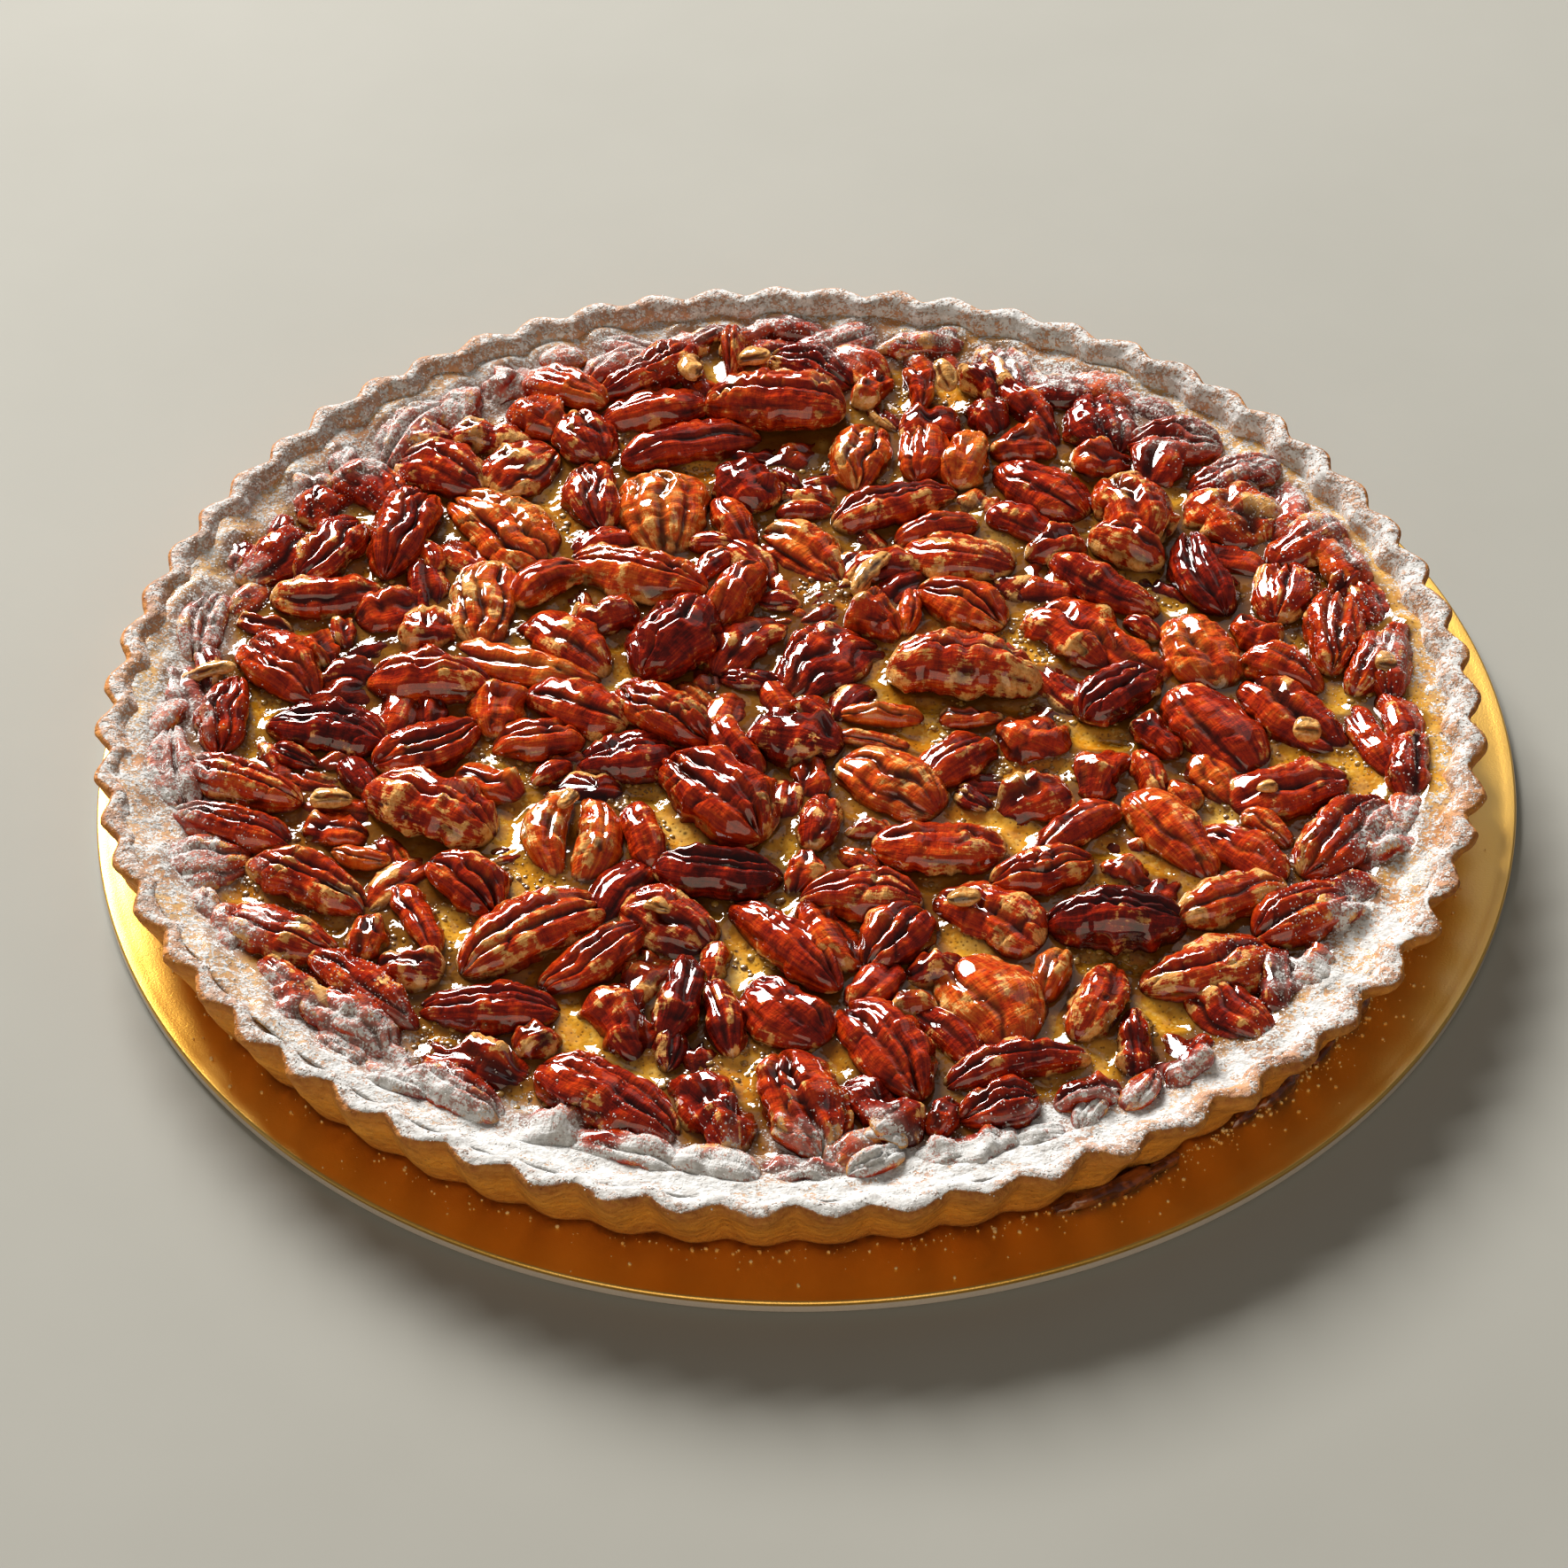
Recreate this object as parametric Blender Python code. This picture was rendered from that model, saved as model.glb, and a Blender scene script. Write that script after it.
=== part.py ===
"""Pecan tart in a fluted pastry case, on its gold cake card.

Units are metres and +Z is up. The origin is the middle of the card's underside,
and the side that faces -Y is the front.
"""
import math

import bmesh
import bpy
from mathutils import Vector, noise

MM = 0.001
GAP = 0.3 * MM  # left between pieces that touch
SHARP_ANGLE = math.radians(50)  # edges that turn more than this stay crisp

# The gold card: a foil-covered board with a slightly rounded edge.
CARD_RADIUS = 150 * MM
CARD_THICKNESS = 2.8 * MM
CARD_ROUND = 0.6 * MM
CARD_COLUMNS = 96

# The pastry case, which stands a little off the card's centre.
TART_CENTRE = Vector((-4.0 * MM, 0.0, 0.0))
FLUTES = 63
COLUMNS_PER_FLUTE = 6
FLUTE_START = math.radians(-1.3)  # heading of the middle of one flute
BASE_RADIUS = 135.5 * MM
RIM_RADIUS = 143.0 * MM
RIM_HEIGHT = 21.3 * MM  # above the table
RIM_WIDTH = 4.2 * MM
RIM_ROUND = 1.0 * MM
BASE_FLUTE = 0.9 * MM  # how far a flute stands out of the mean circle
RIM_FLUTE = 1.5 * MM
INNER_FLUTE = 0.5 * MM
FLOOR_THICKNESS = 4.0 * MM
FLOOR_RADIUS = 133.0 * MM
RIM_WAVE = 0.6 * MM  # how unevenly the rim baked
CASE_BOTTOM = CARD_THICKNESS + GAP
FLOOR_TOP = CASE_BOTTOM + FLOOR_THICKNESS
CREST_INNER_RADIUS = RIM_RADIUS - RIM_WIDTH

# The set caramel filling.
FILLING_LEVEL = 15.5 * MM
FILLING_COLUMNS = 72

# A nut's cross-section: at each angle up from its base, the share of the full radius.
SECTION_DEGREES = (0, 25, 52, 73, 90, 107, 128, 155, 180)
NUT_SECTIONS = {
    "ridge": (1.0, 1.03, 1.0, 0.82, 0.96, 0.82, 1.0, 1.03, 1.0),  # two grooves, three ridges
    "cleft": (1.0, 1.06, 1.03, 0.84, 0.58, 0.84, 1.03, 1.06, 1.0),  # two lobes and a cleft
    "flat": (1.0, 1.04, 0.98, 0.93, 0.85, 0.93, 0.98, 1.04, 1.0),  # a broken inner face
}
NUT_RINGS = (-0.84, -0.46, 0.0, 0.46, 0.84)  # along the nut, as shares of its half length
NUT_ROUNDNESS = 2.3

# The large nuts, laid by hand: x and y of the middle in mm, heading of the long axis
# in degrees, length and width in mm, the face that is up, height above the filling in mm.
NUTS = (
    # back left
    (-5, 100.5, -8, 30, 16, "ridge", 11),
    (-33, 115.5, 38, 26, 10, "ridge", 7),
    (-30, 66.5, -82, 27, 18, "ridge", 6.5),
    (-27, 24, 60, 26, 16, "ridge", 10),
    (-30, 0, -42, 25, 12, "ridge", 8),
    (-36, 46.5, -22, 31, 13, "ridge", 6.5),
    (-66, 63.5, -48, 31, 18, "cleft", 6),
    (-69, 37.5, 88, 25, 14, "ridge", 5),
    (-87, 60.5, 75, 27, 13, "ridge", 8.5),
    (-80, 13.5, -8, 26, 14, "ridge", 8),
    (-100, -1.5, -12, 25, 13, "cleft", 6.5),
    (-122, 3, 83, 22, 10, "ridge", 6),
    (-111.5, 17.5, -50, 23, 14, "ridge", 6),
    # back right
    (34.5, 12.5, -8, 31, 17, "ridge", 10.5),
    (5, 17, 42, 25, 18, "flat", 5),
    (34.5, 33.5, -35, 21, 12, "ridge", 6),
    (21, 67.5, 20, 28, 11, "ridge", 6),
    (14, 85, 80, 22, 13, "ridge", 6),
    (53.5, 72.5, -45, 25, 14, "ridge", 6),
    (73, 62.5, -75, 22, 15, "ridge", 9.5),
    (68.5, 95, -80, 20, 14, "ridge", 6),
    (84.5, 86.5, -8, 20, 12, "ridge", 6),
    (95.5, 62.5, -60, 22, 18, "cleft", 7),
    (87, 42.5, -78, 26, 11, "ridge", 6.5),
    (114, 22.5, 80, 26, 12, "ridge", 6.5),
    (84, 17.5, -75, 23, 15, "cleft", 6),
    (59, 24.5, -50, 24, 17, "cleft", 6),
    (66.5, 3.5, 40, 21, 12, "ridge", 6.5),
    (85.5, -7.5, -58, 28, 15, "flat", 6.5),
    (102, -3, -52, 28, 13, "cleft", 6),
    # front left
    (-117, -18.5, -27, 26, 10, "ridge", 6.5),
    (-118.5, -31, -22, 26, 10, "ridge", 6),
    (-78.5, -8.5, 28, 23, 11, "ridge", 6),
    (-78, -27.5, -28, 29, 16, "ridge", 10),
    (-18.5, -25.5, -52, 30, 16, "ridge", 10),
    (-18.5, -47.5, -8, 25, 13, "ridge", 6.5),
    (-48, -35.5, 88, 26, 17, "cleft", 6),
    (-69.5, -49, -45, 19, 12, "ridge", 6.5),
    (-101, -47.5, -30, 27, 12, "ridge", 6.5),
    (-107, -62, -28, 25, 13, "ridge", 6),
    (-55.5, -63, 35, 33, 14, "ridge", 6.5),
    (-64, -84, -3, 27, 12, "ridge", 6.5),
    (-39.5, -109, -36, 31, 15, "ridge", 7),
    (-2.5, -112, -73, 26, 15, "ridge", 7.5),
    # front right
    (17.5, -22, -42, 24, 15, "flat", 6),
    (27, -41.5, -3, 26, 12, "ridge", 6),
    (10.5, -55, -2, 23, 12, "ridge", 6),
    (36, -61.5, -35, 24, 14, "cleft", 6.5),
    (61, -64, -3, 27, 14, "ridge", 9.5),
    (75, -39, -58, 28, 12, "flat", 6),
    (100, -26.5, 17, 25, 13, "cleft", 6),
    (110, -40.5, 48, 28, 13, "ridge", 7),
    (99, -62.5, 28, 22, 13, "ridge", 6),
    (79, -78, 22, 27, 14, "ridge", 6.5),
    (35, -85, -60, 26, 17, "flat", 6.5),
    (14, -97.5, -62, 28, 14, "ridge", 7),
)
NUT_NAME = "pecan_{:02d}"

# Colours are linear RGB.
GOLD = (0.86, 0.58, 0.18, 1.0)
PASTRY = (0.62, 0.36, 0.16, 1.0)
CARAMEL = (0.36, 0.17, 0.035, 1.0)
NUT_BROWN = (0.25, 0.055, 0.018, 1.0)


def clear_scene():
    for thing in list(bpy.data.objects):
        bpy.data.objects.remove(thing, do_unlink=True)


def make_material(name, colour, roughness, metallic=0.0):
    material = bpy.data.materials.new(name)
    material.use_nodes = True
    shader = material.node_tree.nodes["Principled BSDF"]
    shader.inputs["Base Color"].default_value = colour
    shader.inputs["Roughness"].default_value = roughness
    shader.inputs["Metallic"].default_value = metallic
    material.diffuse_color = colour
    return material


def bridged(rings):
    """A mesh with bands of faces between rings of points, and its two end loops of edges."""
    mesh = bmesh.new()
    loops = []
    for ring in rings:
        points = [mesh.verts.new(point) for point in ring]
        loops.append([mesh.edges.new(pair) for pair in zip(points, points[1:] + points[:1])])
    for lower, upper in zip(loops, loops[1:]):
        bmesh.ops.bridge_loops(mesh, edges=lower + upper)
    return mesh, (loops[0], loops[-1])


def cap(mesh, loop):
    """Close one end loop with a single face."""
    return bmesh.ops.edgeloop_fill(mesh, edges=loop)["faces"]


def finish(name, mesh, material):
    """Turn the mesh into a closed, smoothly shaded object with one material."""
    bmesh.ops.triangulate(mesh, faces=mesh.faces[:], quad_method="BEAUTY", ngon_method="BEAUTY")
    bmesh.ops.recalc_face_normals(mesh, faces=mesh.faces[:])
    data = bpy.data.meshes.new(name)
    mesh.to_mesh(data)
    mesh.free()
    data.shade_smooth()
    data.set_sharp_from_angle(angle=SHARP_ANGLE)
    data.materials.append(material)
    body = bpy.data.objects.new(name, data)
    bpy.context.scene.collection.objects.link(body)
    return body


def round_slab(name, rings, material):
    """A closed round body through rings from the bottom up, flat at both ends."""
    mesh, ends = bridged(rings)
    for loop in ends:
        cap(mesh, loop)
    return finish(name, mesh, material)


def circle(radius, height, count):
    """Points round the Z axis; radius and height are numbers or functions of the angle."""
    points = []
    for i in range(count):
        angle = 2 * math.pi * i / count
        r = radius(angle) if callable(radius) else radius
        z = height(angle) if callable(height) else height
        points.append(Vector((r * math.cos(angle), r * math.sin(angle), z)))
    return points


def fluted(mean, depth):
    """The radius of a fluted circle: rounded ribs with narrower creases between them."""

    def at(angle):
        turn = FLUTES * (angle - FLUTE_START)
        scallop = 2 * abs(math.cos(turn / 2)) - 1
        return mean + depth * (0.5 * scallop + 0.5 * math.cos(turn))

    return at


def uneven(height, amount):
    """A height that wavers round the rim, by a smooth noise that closes on itself."""

    def at(angle):
        place = Vector((math.cos(angle), math.sin(angle), 0.0)) * 3.0
        return height + amount * noise.noise(place)

    return at


def make_card(material):
    edge = CARD_RADIUS - CARD_ROUND
    rings = [
        circle(edge, 0.0, CARD_COLUMNS),
        circle(CARD_RADIUS, CARD_ROUND, CARD_COLUMNS),
        circle(CARD_RADIUS, CARD_THICKNESS - CARD_ROUND, CARD_COLUMNS),
        circle(edge, CARD_THICKNESS, CARD_COLUMNS),
    ]
    return round_slab("cake_card", rings, material)


def make_case(material):
    """The pastry case: fluted outside, a rounded uneven rim, and a sloping inner wall."""
    count = FLUTES * COLUMNS_PER_FLUTE
    crest = RIM_HEIGHT - RIM_WAVE / 2
    rings = [
        circle(fluted(BASE_RADIUS, BASE_FLUTE), CASE_BOTTOM, count),
        circle(fluted(RIM_RADIUS, RIM_FLUTE), uneven(crest - RIM_ROUND, RIM_WAVE), count),
        circle(fluted(RIM_RADIUS - RIM_ROUND, RIM_FLUTE), uneven(crest, RIM_WAVE), count),
        circle(fluted(CREST_INNER_RADIUS, INNER_FLUTE), uneven(crest - RIM_ROUND / 2, RIM_WAVE), count),
        circle(FLOOR_RADIUS, FLOOR_TOP, count),
    ]
    case = round_slab("crust", rings, material)
    case.location = TART_CENTRE
    return case


def wall_radius(height):
    """The inner wall's radius at a height, between the case's floor and its crest."""
    share = (height - FLOOR_TOP) / (RIM_HEIGHT - RIM_ROUND - FLOOR_TOP)
    return FLOOR_RADIUS + share * (CREST_INNER_RADIUS - INNER_FLUTE - FLOOR_RADIUS)


def make_filling(material):
    """The set caramel, from the case's floor up to its level."""
    bottom = FLOOR_TOP + GAP
    rings = [
        circle(wall_radius(height) - 2 * GAP, height, FILLING_COLUMNS)
        for height in (bottom, FILLING_LEVEL)
    ]
    filling = round_slab("filling", rings, material)
    filling.location = TART_CENTRE
    return filling


def nut_rings(length, width, height, kind):
    """Cross-sections of a nut that lies along X on a flat base at Z = 0."""
    rings = []
    for share in NUT_RINGS:
        size = (1 - abs(share) ** NUT_ROUNDNESS) ** (1 / NUT_ROUNDNESS)
        ring = []
        for degrees, reach in zip(SECTION_DEGREES, NUT_SECTIONS[kind]):
            angle = math.radians(degrees)
            across = width / 2 * size * reach * math.cos(angle)
            up = height * size * reach * math.sin(angle)
            ring.append(Vector((share * length / 2, across, up)))
        rings.append(ring)
    return rings


def make_nut(number, row, material):
    x, y, heading, length, width, kind, height = row
    length, width, height = length * MM, width * MM, height * MM
    mesh, ends = bridged(nut_rings(length, width, height, kind))
    tip_reach = length / 2 * (1 - NUT_RINGS[-1])
    for loop in ends:
        bmesh.ops.recalc_face_normals(mesh, faces=mesh.faces[:])
        bmesh.ops.poke(mesh, faces=cap(mesh, loop), offset=tip_reach)
    nut = finish(NUT_NAME.format(number), mesh, material)
    nut.location = (x * MM, y * MM, FILLING_LEVEL + GAP)
    nut.rotation_euler = (0.0, 0.0, math.radians(heading))
    return nut


def main():
    clear_scene()
    make_card(make_material("gold_foil", GOLD, 0.3, metallic=1.0))
    make_case(make_material("baked_pastry", PASTRY, 0.8))
    make_filling(make_material("caramel", CARAMEL, 0.15))
    nut_material = make_material("glazed_pecan", NUT_BROWN, 0.2)
    for number, row in enumerate(NUTS, start=1):
        make_nut(number, row, nut_material)


main()
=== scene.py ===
import math

import bpy
import numpy as np
from mathutils import Matrix, Vector


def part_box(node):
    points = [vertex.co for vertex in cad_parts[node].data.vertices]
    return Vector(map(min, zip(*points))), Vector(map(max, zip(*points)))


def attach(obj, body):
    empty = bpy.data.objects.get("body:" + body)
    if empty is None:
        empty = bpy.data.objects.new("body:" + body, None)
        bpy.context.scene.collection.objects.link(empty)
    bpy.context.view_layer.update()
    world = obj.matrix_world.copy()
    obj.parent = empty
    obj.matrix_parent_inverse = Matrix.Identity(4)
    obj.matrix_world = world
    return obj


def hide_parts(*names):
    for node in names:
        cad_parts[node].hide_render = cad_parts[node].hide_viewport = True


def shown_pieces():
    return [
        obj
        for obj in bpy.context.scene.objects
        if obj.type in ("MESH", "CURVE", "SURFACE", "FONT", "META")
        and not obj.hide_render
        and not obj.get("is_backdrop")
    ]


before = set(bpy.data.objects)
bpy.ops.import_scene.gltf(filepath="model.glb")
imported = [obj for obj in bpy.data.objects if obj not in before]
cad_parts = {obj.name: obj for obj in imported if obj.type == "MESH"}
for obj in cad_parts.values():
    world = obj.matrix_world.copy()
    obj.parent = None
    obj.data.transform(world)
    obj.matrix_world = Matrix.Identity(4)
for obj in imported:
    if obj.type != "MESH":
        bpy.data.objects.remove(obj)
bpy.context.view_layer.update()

mm = 0.001
pi = math.pi

cardLow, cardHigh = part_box("cake_card")
crustLow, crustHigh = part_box("crust")
fillingLow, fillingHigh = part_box("filling")
tartX = (crustLow[0] + crustHigh[0]) / 2
tartY = (crustLow[1] + crustHigh[1]) / 2
level = fillingHigh[2]              # top of the caramel


def smooth(low, high, value):
    share = np.clip((value - low) / (high - low), 0, 1)
    return share * share * (3 - 2 * share)


def bell(value, width):
    return np.exp(-(value / width) ** 2)


def latticeValue(cells, seed):
    # repeatable number between -1 and 1 for each lattice cell
    n = cells[..., 0] * 374761393 + cells[..., 1] * 668265263 + cells[..., 2] * 1274126177 + seed * 144665
    n = n & 0xFFFFFFFF
    n = ((n ^ (n >> 13)) * 1274126177) & 0xFFFFFFFF
    n = ((n ^ (n >> 15)) * 668265263) & 0xFFFFFFFF
    n = n ^ (n >> 16)
    return (n & 0xFFFFFF) / float(0x7FFFFF) - 1


def softNoise(points, seed=0):
    # value noise of points (..., 3), about -1 to 1
    cells = np.floor(points).astype(np.int64)
    part = points - cells
    part = part * part * (3 - 2 * part)
    total = np.zeros(points.shape[:-1])
    for dx in (0, 1):
        for dy in (0, 1):
            for dz in (0, 1):
                weight = np.where(dx, part[..., 0], 1 - part[..., 0])
                weight = weight * np.where(dy, part[..., 1], 1 - part[..., 1])
                weight = weight * np.where(dz, part[..., 2], 1 - part[..., 2])
                total += weight * latticeValue(cells + np.array((dx, dy, dz)), seed)
    return total


def layeredNoise(points, seed=0, layers=3):
    total = 0
    strength = 1
    for layer in range(layers):
        total = total + strength * softNoise(points * 2 ** layer, seed + layer)
        strength *= 0.5
    return total


def flatNoise(x, y, size, seed):
    # noise over the tart's plan, with blotches about as wide as size
    return softNoise(np.stack((x / size, y / size, x * 0), -1), seed)


def blurred(grid, size):
    # Gaussian blur of a square grid, size in cells
    reach = int(size * 3) + 1
    steps = np.arange(-reach, reach + 1)
    weights = np.exp(-0.5 * (steps / size) ** 2)
    weights /= weights.sum()
    for axis in (0, 1):
        total = np.zeros_like(grid)
        for step, weight in zip(steps, weights):
            total += weight * np.roll(grid, step, axis)
        grid = total
    return grid


def meshObject(name, points, faces, smoothFaces=True):
    mesh = bpy.data.meshes.new(name)
    mesh.from_pydata([tuple(p) for p in points], [], faces)
    mesh.validate()
    mesh.update()
    if smoothFaces:
        mesh.polygons.foreach_set("use_smooth", [True] * len(mesh.polygons))
    piece = bpy.data.objects.new(name, mesh)
    bpy.context.scene.collection.objects.link(piece)
    return piece


def readMesh(data, name, width):
    # a value of each vertex, as rows of that width
    values = np.empty(len(data) * width)
    data.foreach_get(name, values)
    return values.reshape(-1, width)


def fromMiddle(points):
    # x, y and distance from the tart's middle
    x = points[:, 0] - tartX
    y = points[:, 1] - tartY
    return x, y, np.sqrt(x * x + y * y)


def gridFaces(rows, columns, start=0):
    # closed round the columns, open at the first and last row
    faces = []
    for row in range(rows - 1):
        for column in range(columns):
            right = (column + 1) % columns
            a = start + row * columns + column
            b = start + row * columns + right
            faces.append((a, b, b + columns, a + columns))
    return faces


def closedGrid(rows, columns, count, start=0):
    # a grid's faces with a fan at each end, whose middles are the last two of count points
    faces = gridFaces(rows, columns, start)
    last = start + (rows - 1) * columns
    for column in range(columns):
        right = (column + 1) % columns
        faces.append((start + right, start + column, count - 2))
        faces.append((last + column, last + right, count - 1))
    return faces


class Value:
    # one output in a node tree, so that what its Math nodes do reads as a sum

    def __init__(self, nodes, socket):
        self.nodes = nodes
        self.socket = socket

    def __add__(self, other):
        return self.nodes.math("ADD", self, other)

    def __sub__(self, other):
        return self.nodes.math("SUBTRACT", self, other)

    def __rsub__(self, other):
        return self.nodes.math("SUBTRACT", other, self)

    def __mul__(self, other):
        return self.nodes.math("MULTIPLY", self, other)

    def __truediv__(self, other):
        return self.nodes.math("DIVIDE", self, other)

    def ramp(self, low, high, first=0.0, last=1.0, kind="SMOOTHSTEP"):
        return self.nodes.add("ShaderNodeMapRange", {
            "Value": self, "From Min": low, "From Max": high, "To Min": first, "To Max": last,
        }, "Result", interpolation_type=kind)


class Nodes:
    # a node tree, with short ways to add what the tart's trees need

    def __init__(self, tree):
        self.tree = tree

    def put(self, value, socket):
        if isinstance(value, Value):
            self.tree.links.new(value.socket, socket)
        elif isinstance(value, tuple) and len(socket.default_value) == 4:
            socket.default_value = (*value, 1)
        else:
            socket.default_value = value

    def add(self, kind, values, out=0, **settings):
        # a node with its settings and its inputs, by name or number; gives back one of its outputs
        node = self.tree.nodes.new(kind)
        for name, setting in settings.items():
            setattr(node, name, setting)
        for name, value in values.items():
            self.put(value, node.inputs[name])
        return Value(self, node.outputs[out])

    def math(self, operation, first, second=0.0):
        return self.add("ShaderNodeMath", {0: first, 1: second}, operation=operation)

    def parts(self, vector, kind="ShaderNodeSeparateXYZ"):
        node = self.tree.nodes.new(kind)
        self.put(vector, node.inputs[0])
        return [Value(self, socket) for socket in node.outputs[:3]]


class Finish(Nodes):
    # a material with one Principled shader, on Object coordinates

    def __init__(self, name):
        self.material = bpy.data.materials.new(name)
        self.material.use_nodes = True
        super().__init__(self.material.node_tree)
        self.tree.nodes.clear()
        self.shader = self.tree.nodes.new("ShaderNodeBsdfPrincipled")
        out = self.tree.nodes.new("ShaderNodeOutputMaterial")
        self.tree.links.new(self.shader.outputs["BSDF"], out.inputs["Surface"])
        self.place = self.add("ShaderNodeTexCoord", {}, "Object")
        self.normal = self.add("ShaderNodeNewGeometry", {}, "Normal")

    def set(self, **values):
        for name, value in values.items():
            self.put(value, self.shader.inputs[name.replace("_", " ")])

    def mix(self, share, first, second):
        return self.add("ShaderNodeMix", {"Factor": share, 6: first, 7: second}, 2, data_type="RGBA")

    def noise(self, scale, detail=3.0, roughness=0.55, vector=None):
        return self.add("ShaderNodeTexNoise", {
            "Vector": vector or self.place, "Scale": scale, "Detail": detail, "Roughness": roughness}, "Fac")

    def cells(self, scale, out="Distance"):
        return self.add("ShaderNodeTexVoronoi", {"Vector": self.place, "Scale": scale}, out)

    def grains(self, scale):
        # a number of its own for each small cell
        return self.parts(self.cells(scale, "Color"), "ShaderNodeSeparateColor")[0]

    def attribute(self, name, out="Color"):
        return self.add("ShaderNodeAttribute", {}, out, attribute_name=name)

    def channels(self, name):
        return self.parts(self.attribute(name), "ShaderNodeSeparateColor")

    def colours(self, value, stops):
        node = self.tree.nodes.new("ShaderNodeValToRGB")
        self.put(value, node.inputs["Fac"])
        elements = node.color_ramp.elements
        while len(elements) < len(stops):
            elements.new(0.5)
        for element, (position, colour) in zip(elements, stops):
            element.position = position
            element.color = (*colour, 1)
        return Value(self, node.outputs["Color"])

    def layers(self, colour, covers):
        # further colours over the first one, each where its share says
        for share, cover in covers:
            colour = self.mix(share, colour, cover)
        return colour

    def glazeNormal(self, share):
        # the syrup's own smoother surface, mixed with the true one
        blend = self.add("ShaderNodeMix", {0: share, 4: self.normal, 5: self.attribute("glaze", "Vector")}, 1,
                         data_type="VECTOR")
        return self.add("ShaderNodeVectorMath", {0: blend}, operation="NORMALIZE")

    def bump(self, height, distance, strength=1.0):
        return self.add("ShaderNodeBump", {
            "Height": height, "Distance": distance, "Strength": strength}, "Normal")


sugar = {
    "bright": (0.66, 0.665, 0.66),
    "dull": (0.50, 0.49, 0.475),
    "innerEdge": 0.1155,   # where the first grains lie, from the tart's middle
    "fullEdge": 0.130,     # where the ring is thick
    "patchy": 0.045,       # how far its inner edge wanders
    "film": 0.66,          # how much of the surface its thin film hides
    "nutFilm": (0.47, 0.36, 0.32),
    "crustFilm": (0.43, 0.37, 0.335),
    "thinSide": 0.006,     # how far the ring draws back on the right
    "leftShare": 0.64,     # thinner everywhere than at the front
    "bareWay": (0.743, -0.669),   # towards the front right corner, where the rim is bare
    "grain": 2500,
}


def sugarCover(nodes, heavy, light, steep=0.10, inward=0.0, bare=0.05):
    # how much icing sugar lies here, as grains and as a thin film, both 0 to 1
    # heavy on the left and light on the right, on what isn't too steep or turned away from the middle
    x, y = nodes.parts(nodes.place)[:2]
    fromX = x - tartX
    fromY = y - tartY
    radius = nodes.math("SQRT", fromX * fromX + fromY * fromY)
    drawnBack = fromX.ramp(-0.02, 0.13, 0.0, sugar["thinSide"]) * fromY.ramp(0.02, 0.08, 1.0, -0.4)
    reach = radius - drawnBack + (nodes.noise(42, 3) - 0.5) * sugar["patchy"]
    toRight = fromX - fromY * -0.45
    toFront = fromY + fromX * -0.25
    toCorner = fromX * sugar["bareWay"][0] + fromY * sugar["bareWay"][1]
    thickness = reach.ramp(sugar["innerEdge"], sugar["fullEdge"])
    thickness = thickness * toRight.ramp(-0.02, 0.10, heavy, light)
    thickness = thickness * toFront.ramp(-0.055, -0.11, sugar["leftShare"], 1.0)
    thickness = thickness * nodes.noise(110, 3, 0.6).ramp(0.33, 0.64, 0.78, 1.10)
    thickness = thickness - toCorner.ramp(0.110, 0.140, 0.0, bare)
    wayX, wayY, wayZ = nodes.parts(nodes.normal)
    outward = (wayX * fromX + wayY * fromY) / nodes.math("MAXIMUM", radius, 1 * mm)
    dusted = thickness * (wayZ - outward * inward).ramp(steep, steep + 0.6)
    clumps = nodes.noise(480, 2, 0.6).ramp(0.28, 0.72, -0.24, 0.24, "LINEAR")
    grains = nodes.grains(sugar["grain"]) * 0.42 + clumps + 0.27
    film = dusted.ramp(0.12, 0.62, 0.0, sugar["film"]) * toRight.ramp(0.0, 0.10, 1.0, 0.70)
    return (dusted - grains).ramp(-0.08, 0.10), film


def sugarColour(nodes):
    return nodes.mix(nodes.noise(520, 3, 0.65).ramp(0.38, 0.60), sugar["dull"], sugar["bright"])


def glazed(nodes, colour, heavy, light):
    # a colour under clear glaze, with the sugar on it that dulls the glaze; gives back the grains' cover
    cover, film = sugarCover(nodes, heavy, light)
    colour = nodes.mix(film, colour, sugar["nutFilm"])
    nodes.set(Base_Color=nodes.mix(cover, colour, sugarColour(nodes)),
              Roughness=cover.ramp(0, 1, 0.45, 0.95, "LINEAR"),
              Coat_Weight=nodes.math("MAXIMUM", cover, film).ramp(0, 0.55, 1.0, 0.0, "LINEAR"),
              Coat_Roughness=0.025, Coat_IOR=1.5, IOR=1.45, Specular_IOR_Level=0.0)
    return cover


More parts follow.
